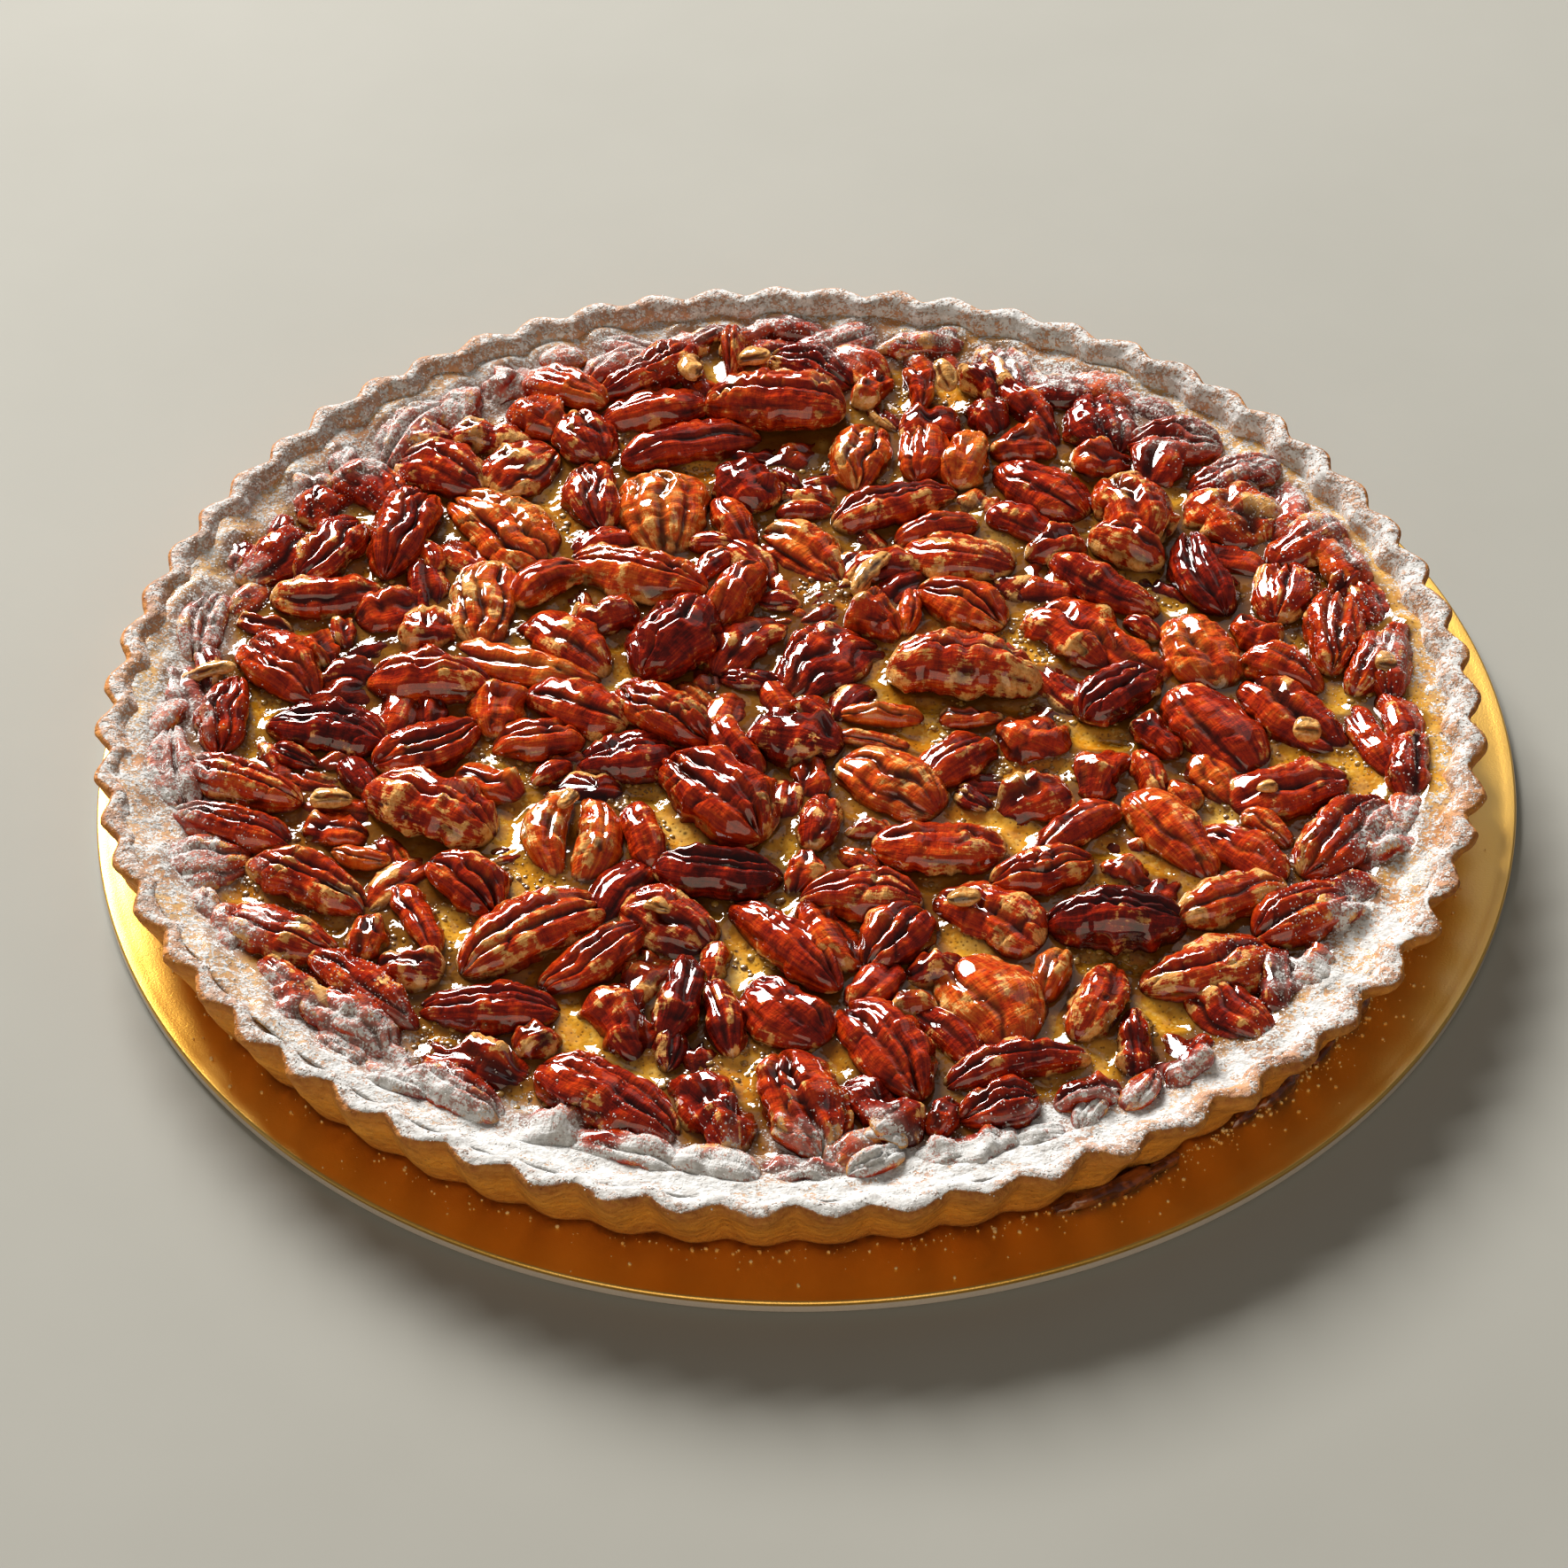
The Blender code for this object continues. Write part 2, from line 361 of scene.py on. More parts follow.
def pecanSkin():
    nodes = Finish("glazedPecan")
    # the skin's channels: painted shade in grooves, creases, cracks and underside, worn patches, tone, and
    # painted light on the crests
    groove, patch, tone = nodes.channels("skin")
    crestLight = nodes.attribute("skin", "Alpha")
    along = nodes.add("ShaderNodeUVMap", {}, "UV", uv_map="along")
    lengthwise, crosswise = [nodes.add("ShaderNodeMapping", {"Vector": along, "Scale": stretch})
                             for stretch in ((0.13, 1.3, 1.0), (0.85, 0.26, 1.0))]
    streaks = nodes.noise(1.0, 4, 0.65, lengthwise)
    wrinkles = nodes.noise(1.0, 3, 0.6, crosswise)
    blotches = nodes.noise(330, 4, 0.62)
    flecks = nodes.noise(1100, 3, 0.6)
    depth = tone + (streaks - 0.5) * 0.95 + (blotches - 0.5) * 0.8
    # painted light and shade: lighter on the crests and on the wrinkles' raised lines, darker in the hollows
    # between them
    depth = depth + (crestLight - 0.5) * 0.45 + (wrinkles - 0.5) * 0.55
    skin = nodes.colours(depth, (
        (0.0, (0.075, 0.004, 0.002)),
        (0.25, (0.240, 0.011, 0.003)),
        (0.5, (0.470, 0.038, 0.004)),
        (0.75, (0.620, 0.122, 0.013)),
        (1.0, (0.660, 0.265, 0.050)),
    ))
    tan = nodes.mix(flecks.ramp(0.35, 0.7), (0.82, 0.47, 0.16), (0.62, 0.25, 0.05))
    worn = patch + (blotches - 0.5) * 1.3 + (streaks - 0.5) * 0.6
    skin = nodes.layers(skin, (
        (worn.ramp(0.50, 0.61), tan),
        # painted shade: near black in the grooves, creases, cracks and underside
        (groove.ramp(0.1, 0.9, 0, 0.85), (0.022, 0.003, 0.0015)),
    ))
    glazed(nodes, skin, 0.74, 0.70)
    nodes.set(Normal=nodes.bump(streaks * 0.5 + flecks * 0.35 + wrinkles * 0.9, 0.8 * mm, 0.85),
              Coat_Normal=nodes.glazeNormal(0.74))
    return nodes.material


def caramelFinish():
    nodes = Finish("caramelFinish")
    # painted shade, kept in the depth colour: dark in narrow gaps between the nuts and along each nut's edge
    gap, nutEdgeShade = nodes.channels("depth")[:2]        # 1 in narrow gaps, and 1 close to a nut
    froth = nodes.cells(900)
    frothy = nodes.noise(60, 2).ramp(0.40, 0.60)
    bigFroth = nodes.cells(430) + (1.0 - frothy)
    amber = nodes.colours(nodes.noise(55, 4, 0.6) * 0.6 + nodes.noise(230, 4, 0.7) * 0.4, (
        (0.32, (0.200, 0.068, 0.003)),
        (0.42, (0.470, 0.195, 0.008)),
        (0.52, (0.640, 0.320, 0.026)),
        (0.64, (0.780, 0.500, 0.115)),
    ))
    amber = nodes.layers(amber, (
        (nodes.noise(40, 3).ramp(0.50, 0.62, 0.0, 0.70), (0.500, 0.150, 0.005)),          # redder pools
        # small bubbles, painted as dark spots: painted shade in their pits
        (froth.ramp(0.10, 0.34, 0.75, 0.0), (0.10, 0.034, 0.004)),                        # small bubbles
        (nodes.grains(1500).ramp(0.84, 0.97, 0.0, 0.45), (0.80, 0.56, 0.14)),             # bright specks
        # large bubbles, painted as dark spots: painted shade in their pits
        (bigFroth.ramp(0.10, 0.32, 0.9, 0.0), (0.030, 0.012, 0.003)),                     # large bubbles
        # painted shade in the narrow gaps
        (gap.ramp(0.0, 0.9, 0, 0.78), (0.130, 0.042, 0.004)),
        # painted shade along the nuts' edges
        ((nutEdgeShade + (nodes.noise(120, 2) - 0.5) * 0.7).ramp(0.48, 0.86, 0, 0.72), (0.100, 0.030, 0.003)),
    ))
    cover = glazed(nodes, amber, 0.78, 0.70)
    powder = nodes.noise(1250, 1, 0.6) * cover * 1.6
    foam = froth + bigFroth * 2
    nodes.set(Normal=nodes.bump(foam * 0.4 + powder, 0.3 * mm, 0.7),
              Coat_Normal=nodes.bump(foam * frothy, 0.2 * mm, 0.28))
    return nodes.material


def bakedPastry():
    nodes = Finish("bakedPastry")
    crumb = nodes.noise(650, 4, 0.65)
    pores = nodes.cells(420)
    height = nodes.parts(nodes.place)[2] + (nodes.noise(45, 4, 0.6) - 0.5) * 0.008
    golden = nodes.colours(height.ramp(3 * mm, 21.5 * mm, 0, 1, "LINEAR"), (
        (0.0, (0.22, 0.060, 0.006)),
        (0.10, (0.54, 0.195, 0.018)),
        (0.55, (0.80, 0.315, 0.029)),
        (0.85, (0.62, 0.225, 0.030)),
        (1.0, (0.32, 0.095, 0.015)),
    ))
    cover, film = sugarCover(nodes, 0.73, 0.95, 0.16, 0.85, 0.34)
    golden = nodes.layers(golden, (
        (nodes.noise(170, 3, 0.65).ramp(0.42, 0.66, 0.0, 0.45), (0.34, 0.105, 0.012)),    # darker bakes
        (crumb.ramp(0.35, 0.75, 0.0, 0.45), (0.70, 0.34, 0.060)),
        # pores, painted darker: painted shade in their pits
        (pores.ramp(0.03, 0.16, 0.65, 0.0), (0.13, 0.036, 0.006)),
        (film * nodes.noise(300, 3, 0.6).ramp(0.3, 0.7, 0.80, 1.40), sugar["crustFilm"]),
        (cover, sugarColour(nodes)),
    ))
    relief = (crumb + pores * 0.8) * cover.ramp(0, 1, 1.0, 0.45, "LINEAR")
    nodes.set(Base_Color=golden, Roughness=cover.ramp(0, 1, 0.68, 0.95, "LINEAR"), IOR=1.4,
              Normal=nodes.bump(relief, 0.9 * mm, 0.8))
    return nodes.material


def goldFoil():
    # gold above, and the bare grey edge and underside of the card
    nodes = Finish("goldFoil")
    top = nodes.parts(nodes.place)[2].ramp(cardHigh[2] - 1.0 * mm, cardHigh[2] - 0.6 * mm)
    grain = nodes.noise(2400, 2, 0.6)
    smudge = nodes.noise(24, 4, 0.6)
    gold = nodes.mix(smudge.ramp(0.3, 0.7), (0.84, 0.46, 0.055), (0.90, 0.54, 0.10))
    silver = nodes.mix(grain, (0.58, 0.50, 0.42), (0.70, 0.62, 0.54))
    nodes.set(Base_Color=nodes.mix(top, silver, gold), Metallic=top.ramp(0, 1, 0.2, 1.0, "LINEAR"),
              Roughness=top.ramp(0, 1, 0.5, 0.34, "LINEAR") + smudge * 0.08,
              Coat_Weight=1.0, Coat_Roughness=0.22, Coat_IOR=1.6, Normal=nodes.bump(grain, 0.2 * mm, 0.25))
    return nodes.material


def plainFinish(name, first, second, scale, roughness, coat=0.0):
    nodes = Finish(name)
    nodes.set(Base_Color=nodes.mix(nodes.noise(scale, 3, 0.6).ramp(0.4, 0.6), first, second),
              Roughness=roughness, Coat_Weight=coat, Coat_Roughness=0.03, IOR=1.45)
    return nodes.material


def newTree(name, inputs):
    # an empty Geometry Nodes tree with its named inputs
    tree = bpy.data.node_groups.new(name, "GeometryNodeTree")
    tree.interface.new_socket("Geometry", in_out="INPUT", socket_type="NodeSocketGeometry")
    for inputName, kind in inputs.items():
        tree.interface.new_socket(inputName, in_out="INPUT", socket_type="NodeSocket" + kind)
    tree.interface.new_socket("Geometry", in_out="OUTPUT", socket_type="NodeSocketGeometry")
    nodes = Nodes(tree)
    return nodes, {socket.name: Value(nodes, socket) for socket in tree.nodes.new("NodeGroupInput").outputs}


def finishTree(nodes, geometry, finish):
    real = nodes.add("GeometryNodeRealizeInstances", {0: geometry})
    dressed = nodes.add("GeometryNodeSetMaterial", {0: real, "Material": finish})
    nodes.put(dressed, nodes.tree.nodes.new("NodeGroupOutput").inputs[0])
    return nodes.tree


def named(nodes, name):
    return nodes.add("GeometryNodeInputNamedAttribute", {"Name": name}, "Attribute", data_type="FLOAT")


def applyTree(piece, tree, values):
    # runs a node tree on a piece and leaves a plain mesh
    modifier = piece.modifiers.new("made", "NODES")
    modifier.node_group = tree
    for item in tree.interface.items_tree:
        if item.item_type == "SOCKET" and item.in_out == "INPUT" and item.name in values:
            modifier[item.identifier] = values[item.name]
    evaluated = piece.evaluated_get(bpy.context.evaluated_depsgraph_get())
    made = bpy.data.meshes.new_from_object(evaluated)
    piece.modifiers.clear()
    piece.data = made


card = {
    "columns": 320,
    "round": 0.6 * mm,
    "ripple": 0.05 * mm,
    "raised": 0.18 * mm,      # the wrapped foil stands up a little along the edge
}


def makeCard():
    radius = (cardHigh[0] - cardLow[0]) / 2
    middleX, middleY = (cardHigh[0] + cardLow[0]) / 2, (cardHigh[1] + cardLow[1]) / 2
    bottom, top = cardLow[2], cardHigh[2]
    corner = card["round"]
    profile = [(radius * share, bottom) for share in (0.25, 0.6, 0.9)]
    for centreZ, firstTurn in ((bottom + corner, 0), (top - corner, pi / 2)):
        for step in range(6):
            turn = pi / 2 * step / 5 + firstTurn
            profile.append((radius - corner + corner * math.sin(turn), centreZ - corner * math.cos(turn)))
    profile = [(out, z + card["raised"] * smooth(radius - 1.9 * mm, radius - 0.7 * mm, out)
                * (z > bottom + 1 * mm)) for out, z in profile]
    profile += [(radius * share, top) for share in (0.985, 0.975, 0.96, 0.945, 0.93, 0.9, 0.6, 0.25)]
    points = []
    for out, z in profile:
        for column in range(card["columns"]):
            angle = 2 * pi * column / card["columns"]
            ripple = card["ripple"] * (math.sin(5 * angle) + 0.6 * math.sin(11 * angle + 1))
            ripple *= smooth(0.8, 0.95, out / radius) * (z > bottom) * (out < radius * 0.99)
            points.append((middleX + out * math.cos(angle), middleY + out * math.sin(angle),
                           z + ripple - abs(ripple)))
    points += [(middleX, middleY, bottom), (middleX, middleY, top)]
    piece = meshObject("goldCard", points, closedGrid(len(profile), card["columns"], len(points)))
    piece.data.materials.append(goldFoil())
    return piece


crust = {
    "fluteCount": 63,
    "fluteStart": -1.3,         # degrees
    "columnsPerFlute": 20,
    "baseRadius": 135.5 * mm,
    "rimRadius": 143.0 * mm,
    "rimWidth": 4.2 * mm,
    "rimRise": 1.6 * mm,         # height of the rounded rim alone
    "foot": 0.35 * mm,
    "floorRadius": 133 * mm,
    "floorTop": 7.1 * mm,
    "rimHeight": 21.3 * mm,
    "outerDepth": 1.65 * mm,     # flutes at the rim
    "baseDepth": 0.85 * mm,
    "innerDepth": 0.9 * mm,
    "ragged": 0.9 * mm,
    "crumb": 0.35 * mm,
    "roughAngle": 325,           # degrees, where the wall is roughest
    "seed": 4,
}


def wallRadius(z):
    share = (z - crust["floorTop"]) / (crust["rimHeight"] - 1 * mm - crust["floorTop"])
    inner = crust["rimRadius"] - crust["rimWidth"] - crust["innerDepth"]
    return crust["floorRadius"] + share * (inner - crust["floorRadius"])


def upperShare(z):
    # 0 low on the wall, 1 at the rim
    return smooth(crust["floorTop"] + 4 * mm, crust["rimHeight"] - 1.5 * mm, z)


def slowReach(angles, z):
    # the case isn't quite round: how far its wall stands out or in at this angle and height
    waves = 1.2 * np.cos(angles + 0.75) + 0.9 * np.cos(2 * angles + 0.9) + 0.5 * np.cos(5 * angles + 2)
    return waves * mm * upperShare(z)


def crustProfile():
    # rows of (radius, height, flute depth, how much the relief moves it)
    bottom, top = crustLow[2], crust["rimHeight"]
    rise, foot, width = crust["rimRise"], crust["foot"], crust["rimWidth"]
    base, rim = crust["baseRadius"], crust["rimRadius"]
    baseDepth, outerDepth, innerDepth = crust["baseDepth"], crust["outerDepth"], crust["innerDepth"]
    rows = [(base * share, bottom, 0, 0) for share in (0.3, 0.7, 0.93)]
    rows.append((base - 1.2 * mm, bottom, baseDepth, 0))
    for step in range(19):                                 # outer wall
        share = step / 18
        rows.append((base + share * (rim - base), bottom + foot + share * (top - rise - bottom - foot),
                     baseDepth + share * (outerDepth - baseDepth), 0.35 + 0.65 * share))
    for step in range(1, 12):                              # rounded rim
        turn = pi * step / 12
        rows.append((rim - width / 2 + width / 2 * math.cos(turn), top - rise + rise * math.sin(turn) ** 0.8,
                     outerDepth + (innerDepth - outerDepth) * step / 12, 1))
    for step in range(16):                                 # inner wall
        share = step / 15
        z = top - rise - share * (top - rise - crust["floorTop"] - 2 * mm)
        rows.append((wallRadius(z), z, innerDepth, 1 - share))
    rows.append((crust["floorRadius"] - 1.5 * mm, crust["floorTop"], 0, 0))
    return rows + [(crust["floorRadius"] * share, crust["floorTop"], 0, 0) for share in (0.7, 0.3)]


def fluteTree():
    # Geometry Nodes: pushes the turned case out into flutes and gives it a broken, crumbly skin
    nodes, given = newTree("fluteTheCase", {"fluteCount": "Int", "fluteStart": "Float", "crumb": "Float",
                                            "ragged": "Float", "seed": "Int", "finish": "Material"})
    place = nodes.add("GeometryNodeInputPosition", {})

    def uneven(shift, scale, detail=2.0, roughness=0.5):
        return nodes.add("ShaderNodeTexNoise", {
            "Vector": place, "W": given["seed"] + shift, "Scale": scale,
            "Detail": detail, "Roughness": roughness,
        }, "Fac", noise_dimensions="4D") - 0.5

    x, y = nodes.parts(place)[:2]
    x = x - tartX
    y = y - tartY
    radius = nodes.math("SQRT", x * x + y * y)
    # each flute is a rounded crest with a tighter crease beside it
    turn = (nodes.math("ARCTAN2", y, x) - given["fluteStart"] + uneven(0, 28) * 0.035) * given["fluteCount"]
    arch = nodes.math("ABSOLUTE", nodes.math("COSINE", turn * 0.5)) * 2 - 1
    flute = (arch * 0.5 + nodes.math("COSINE", turn) * 0.5) * named(nodes, "fluteDepth")
    # crumbly skin, and broad dents, as it was pressed in by hand
    skin = uneven(0, 210, 4, 0.6) * (given["crumb"] * 2.6) + uneven(3, 95) * (given["crumb"] * 7.0)
    share = (flute + skin * named(nodes, "relief")) / nodes.math("MAXIMUM", radius, 1 * mm)
    # the top edge rises, dips and breaks away
    lift = uneven(7, 75, 5, 0.65) * (given["ragged"] * 3.2) * named(nodes, "lift")
    move = nodes.add("ShaderNodeCombineXYZ", {0: x * share, 1: y * share, 2: lift})
    moved = nodes.add("GeometryNodeSetPosition", {"Geometry": given["Geometry"], "Offset": move})
    return finishTree(nodes, moved, given["finish"])


def makeCrust():
    rows = crustProfile()
    columns = crust["fluteCount"] * crust["columnsPerFlute"]
    points = []
    values = {"fluteDepth": [], "relief": [], "lift": []}
    angles = 2 * pi * np.arange(columns) / columns
    rougher = 1 + 2.0 * bell(angles - math.radians(crust["roughAngle"]), 0.45)
    for out, z, fluteDepth, moved in rows:
        reach = out + slowReach(angles, z)
        points += list(zip(tartX + reach * np.cos(angles), tartY + reach * np.sin(angles), [z] * columns))
        values["fluteDepth"] += [fluteDepth] * columns
        values["relief"] += list(moved * rougher)
        values["lift"] += [float(upperShare(z))] * columns
    points += [(tartX, tartY, crustLow[2]), (tartX, tartY, crust["floorTop"])]
    piece = meshObject("flutedCrust", points, closedGrid(len(rows), columns, len(points)))
    for name, amounts in values.items():
        attribute = piece.data.attributes.new(name, "FLOAT", "POINT")
        attribute.data.foreach_set("value", amounts + [0.0, 0.0])
    applyTree(piece, fluteTree(), {
        **crust, "fluteStart": math.radians(crust["fluteStart"]), "finish": bakedPastry()})
    for name in values:
        piece.data.attributes.remove(piece.data.attributes[name])
    return piece


# what each CAD nut shows, from pecan_01 on: kind, roll about its length, tone (0 dark, 1 orange), wear
shownNuts = (
    ("half", -24, 0.50, 0.35), ("half", -8, 0.38, 0.1), ("ribbed", 5, 0.72, 0.5), ("half", -20, 0.20, 0.1),
    ("half", 14, 0.45, 0.3), ("half", -10, 0.58, 0.3), ("half", 0, 0.66, 0.4), ("ribbed", 4, 0.70, 0.6),
    ("half", 16, 0.40, 0.1), ("half", -14, 0.45, 0.3), ("half", -12, 0.12, 0.0), ("half", 10, 0.40, 0.0),
    ("half", 12, 0.45, 0.1), ("half", -24, 0.50, 0.55), ("ribbed", 4, 0.28, 0.1), ("half", 8, 0.58, 0.4),
    ("half", -10, 0.42, 0.35), ("half", 10, 0.60, 0.3), ("ribbed", -6, 0.32, 0.1), ("inner", 10, 0.50, 0.6),
    ("half", -8, 0.20, 0.0), ("half", 6, 0.30, 0.0), ("inner", 0, 0.55, 0.6), ("half", 12, 0.15, 0.0),
    ("half", 10, 0.45, 0.1), ("inner", 8, 0.60, 0.2), ("inner", -4, 0.48, 0.4), ("half", -12, 0.22, 0.1),
    ("smooth", 6, 0.35, 0.1), ("inner", 8, 0.38, 0.2), ("half", -10, 0.46, 0.3), ("half", -10, 0.40, 0.2),
    ("half", 6, 0.45, 0.2), ("half", -26, 0.45, 0.50), ("half", 12, 0.42, 0.15), ("half", -10, 0.14, 0.0),
    ("twin", 0, 0.60, 0.35), ("half", 10, 0.38, 0.2), ("half", -8, 0.50, 0.45), ("half", -8, 0.48, 0.5),
    ("half", 8, 0.52, 0.5), ("half", -10, 0.30, 0.1), ("half", -14, 0.34, 0.1), ("half", 12, 0.44, 0.3),
    ("ribbed", 4, 0.62, 0.3), ("inner", -10, 0.48, 0.4), ("half", -10, 0.40, 0.2), ("inner", 6, 0.44, 0.4),
    ("half", -12, 0.12, 0.1), ("smooth", 8, 0.58, 0.3), ("inner", 4, 0.42, 0.3), ("half", 8, 0.42, 0.2),
    ("half", 4, 0.44, 0.3), ("inner", -8, 0.46, 0.5), ("smooth", 6, 0.64, 0.35), ("half", 12, 0.40, 0.2),
)

# further nuts and broken bits, mm: x, y, heading, length, width, height above the caramel, tone
furtherHalves = (
    (-103, 55.9, 57, 21, 12, 6, 0.4), (-79.5, 82.4, -30, 20, 14, 6, 0.4), (-45.5, 73.4, -85, 22, 12, 6, 0.4),
    (0.3, 51.9, -45, 23, 13, 5, 0.62), (-33, 102.4, 10, 24, 13, 6.5, 0.4), (4, 115.9, -25, 20, 10, 6, 0.3),
    (-89.5, 100.4, 55, 24, 12, 5, 0.35), (-130, 33.4, 80, 24, 11, 5, 0.4), (104, 35.4, 78, 18, 13, 6, 0.45),
    (28, 85.4, 88, 17, 11, 6, 0.6), (101.5, 77.4, 22, 21, 11, 6, 0.35), (51, 117.4, -72, 23, 14, 6, 0.3),
    (-43, -71.6, 38, 24, 10, 6, 0.45), (-56, -6.6, 8, 18, 11, 5, 0.5), (-37.5, -12.1, 12, 20, 13, 6, 0.2),
    (-5, -68.6, -50, 30, 10, 6.5, 0.4), (-70, -106.6, -35, 22, 9, 5, 0.4), (-132, -13.1, -80, 24, 10, 5, 0.4),
    (35.5, -113.6, 20, 15, 10, 6, 0.35), (47.5, -49.6, 15, 20, 10, 6, 0.45), (17, -66.6, 52, 18, 13, 6, 0.4),
    (31, -15.1, 45, 20, 12, 6, 0.4),
)
flatPieces = (
    (-94.5, 76.4, -45, 19, 12, 6, 0.4), (-47.5, 93.4, -70, 16, 13, 6, 0.35),
    (-61.5, 82.4, 45, 18, 14, 6, 0.5), (-52.5, 110.9, -30, 20, 12, 6, 0.6), (34, 50.4, -20, 24, 14, 6, 0.42),
    (-6, -87.1, -52, 21, 13, 6, 0.35), (-90, -88.1, -45, 21, 12, 6, 0.4), (-122.5, -41.6, 10, 18, 13, 5, 0.4),
    (-28.5, -61.6, -35, 20, 14, 6.5, 0.35), (86, -93.6, -50, 20, 12, 5, 0.4),
)
slivers = (
    (-103, 40.4, 5, 22, 10, 6, 0.4), (-115, 52.9, 50, 19, 11, 6, 0.35), (-55.5, 43.4, 35, 16, 9, 6, 0.5),
    (-50.5, 23.9, -45, 24, 12, 6, 0.4), (-61, 16.9, -22, 33, 9, 5, 0.7), (-48, 2.9, -28, 22, 11, 6, 0.4),
    (-13.6, 37.4, 60, 20, 9, 9, 0.55), (-12, 23.4, 50, 22, 12, 5, 0.35), (-14.6, 62.4, -65, 17, 8, 5, 0.5),
    (-24, 89.4, 17, 30, 10, 6, 0.3), (-41, 119.4, 35, 18, 9, 5, 0.4), (-14, 120.4, 85, 15, 5, 9, 0.4),
    (-76, 105.4, 75, 15, 9, 5, 0.4), (23, 31.9, 85, 13, 5, 5, 0.6), (64.5, 38.4, -42, 27, 9, 7, 0.4),
    (71, 50.4, -35, 17, 8, 8, 0.5), (49.5, 59.9, -35, 17, 9, 5, 0.4), (111, 51.4, 35, 19, 11, 6, 0.35),
    (102, 10.4, -35, 18, 9, 6, 0.45), (120, 11.9, 70, 19, 8, 6, 0.4), (128, 12.4, 78, 22, 8, 6, 0.35),
    (118, -10.6, -75, 23, 8, 4, 0.4), (37.5, 83.4, 75, 19, 9, 6, 0.65), (53, 98.4, -60, 22, 8, 6, 0.3),
    (30, 58.4, 18, 18, 7, 5, 0.5), (-91.5, -40.6, -20, 12, 5, 4, 0.65), (-79, -58.6, -65, 20, 7, 4, 0.5),
    (-14.5, -10.6, -60, 17, 8, 6, 0.4), (-33.5, -35.6, -75, 18, 8, 5, 0.35), (2.5, -32.6, 80, 16, 8, 5, 0.4),
    (-26, -83.6, 78, 22, 8, 7, 0.2), (-17.5, -87.6, -80, 20, 7, 6, 0.3), (-88.5, -78.6, -42, 27, 9, 6, 0.4),
    (-101, -79.6, -50, 24, 8, 5, 0.4), (-35.5, -123.6, -22, 28, 8, 5, 0.35),
    (88.5, -44.6, -42, 20, 10, 5, 0.4), (94.5, -37.1, -50, 13, 6, 4, 0.6), (85, -58.6, 24, 23, 9, 6, 0.5),
    (56.5, -85.6, 68, 21, 9, 6, 0.4), (48.3, -77.6, 68, 14, 6, 5, 0.6), (39, -102.6, 12, 27, 8, 6, 0.35),
    (54.5, -37.6, 42, 22, 8, 5, 0.4), (15.6, -1.1, -8, 18, 6, 5, 0.6), (14.6, -8.6, -15, 16, 4, 3, 0.6),
    (71, -21.6, -75, 15, 6, 5, 0.4), (127, -20.1, 80, 19, 9, 6, 0.4),
)
brokenBits = (
    (-104, 23.4, -60, 10, 7, 5, 0.4), (-116, 31.4, -20, 12, 6, 4, 0.5), (-88.5, 35.4, 20, 15, 10, 5, 0.35),
    (-80.5, 28.9, 0, 12, 10, 5, 0.5), (-105, 71.4, 60, 14, 10, 5, 0.35), (-83, 93.4, 10, 11, 8, 5, 0.4),
    (-69, 93.9, -10, 19, 10, 6, 0.35), (-58.5, 99.9, -40, 14, 10, 6, 0.45), (-42, 31.4, 20, 14, 9, 6, 0.35),
    (-64.5, 2.4, 80, 14, 9, 6, 0.5), (-11.5, 74.4, -60, 15, 12, 6, 0.3), (-66.5, 113.4, 60, 14, 9, 5, 0.4),
    (15.6, 27.9, -35, 12, 8, 8, 0.5), (56, 51.4, 25, 13, 7, 6, 0.4), (118.5, 37.4, 50, 9, 6, 5, 0.4),
    (97, 22.9, -30, 11, 8, 5, 0.45), (43, 108.4, -60, 13, 8, 6, 0.3), (28, 107.4, -80, 12, 6, 6, 0.4),
    (17, 107.9, 60, 12, 7, 6, 0.4), (30, 95.4, 0, 13, 11, 5, 0.35), (50.5, 87.4, 10, 14, 9, 5, 0.5),
    (43, 98.4, -60, 11, 8, 5, 0.3), (81.5, 81.4, 60, 17, 11, 6, 0.3), (68, 81.4, 0, 13, 8, 6, 0.35),
    (31, 126.4, 0, 24, 8, 5, 0.35), (-97, -32.6, -10, 13, 7, 4, 0.5), (-66, -19.6, -25, 15, 8, 5, 0.55),
    (-2, -6.6, -20, 19, 14, 7, 0.2), (-1, -47.6, 70, 12, 7, 5, 0.45), (3.5, -65.6, -60, 20, 10, 6, 0.4),
    (-37, -88.1, -65, 20, 11, 6, 0.35), (-80, -72.6, -10, 13, 8, 5, 0.4), (-88.5, -63.6, 75, 11, 7, 5, 0.5),
    (-19.7, -112.1, -65, 23, 11, 6.5, 0.25), (-67, -98.1, -28, 23, 10, 6, 0.35),
    (-54, -93.6, 40, 9, 7, 5, 0.4), (63, -97.1, 88, 17, 6, 5, 0.3), (72, -102.1, 70, 18, 10, 5, 0.35),
    (25, -116.1, 60, 9, 6, 5, 0.3), (12.5, -113.6, -50, 20, 10, 6, 0.25), (25, -76.1, 0, 12, 8, 6, 0.35),
    (20, -85.6, 0, 9, 8, 5, 0.5), (48, -8.6, -30, 16, 13, 6, 0.45), (35, -2.1, 0, 13, 6, 3, 0.6),
    (60, -19.6, 70, 15, 12, 6, 0.4), (47, -28.6, 20, 15, 11, 6, 0.35), (73.5, -10.1, -45, 12, 7, 5, 0.35),
    (64.5, -49.6, -30, 12, 6, 4, 0.5), (12.5, -35.6, 0, 10, 6, 4, 0.4), (53, -111.1, 15, 13, 7, 5, 0.35),
    (29.5, -126.6, 14, 21, 8, 5, 0.4),
)
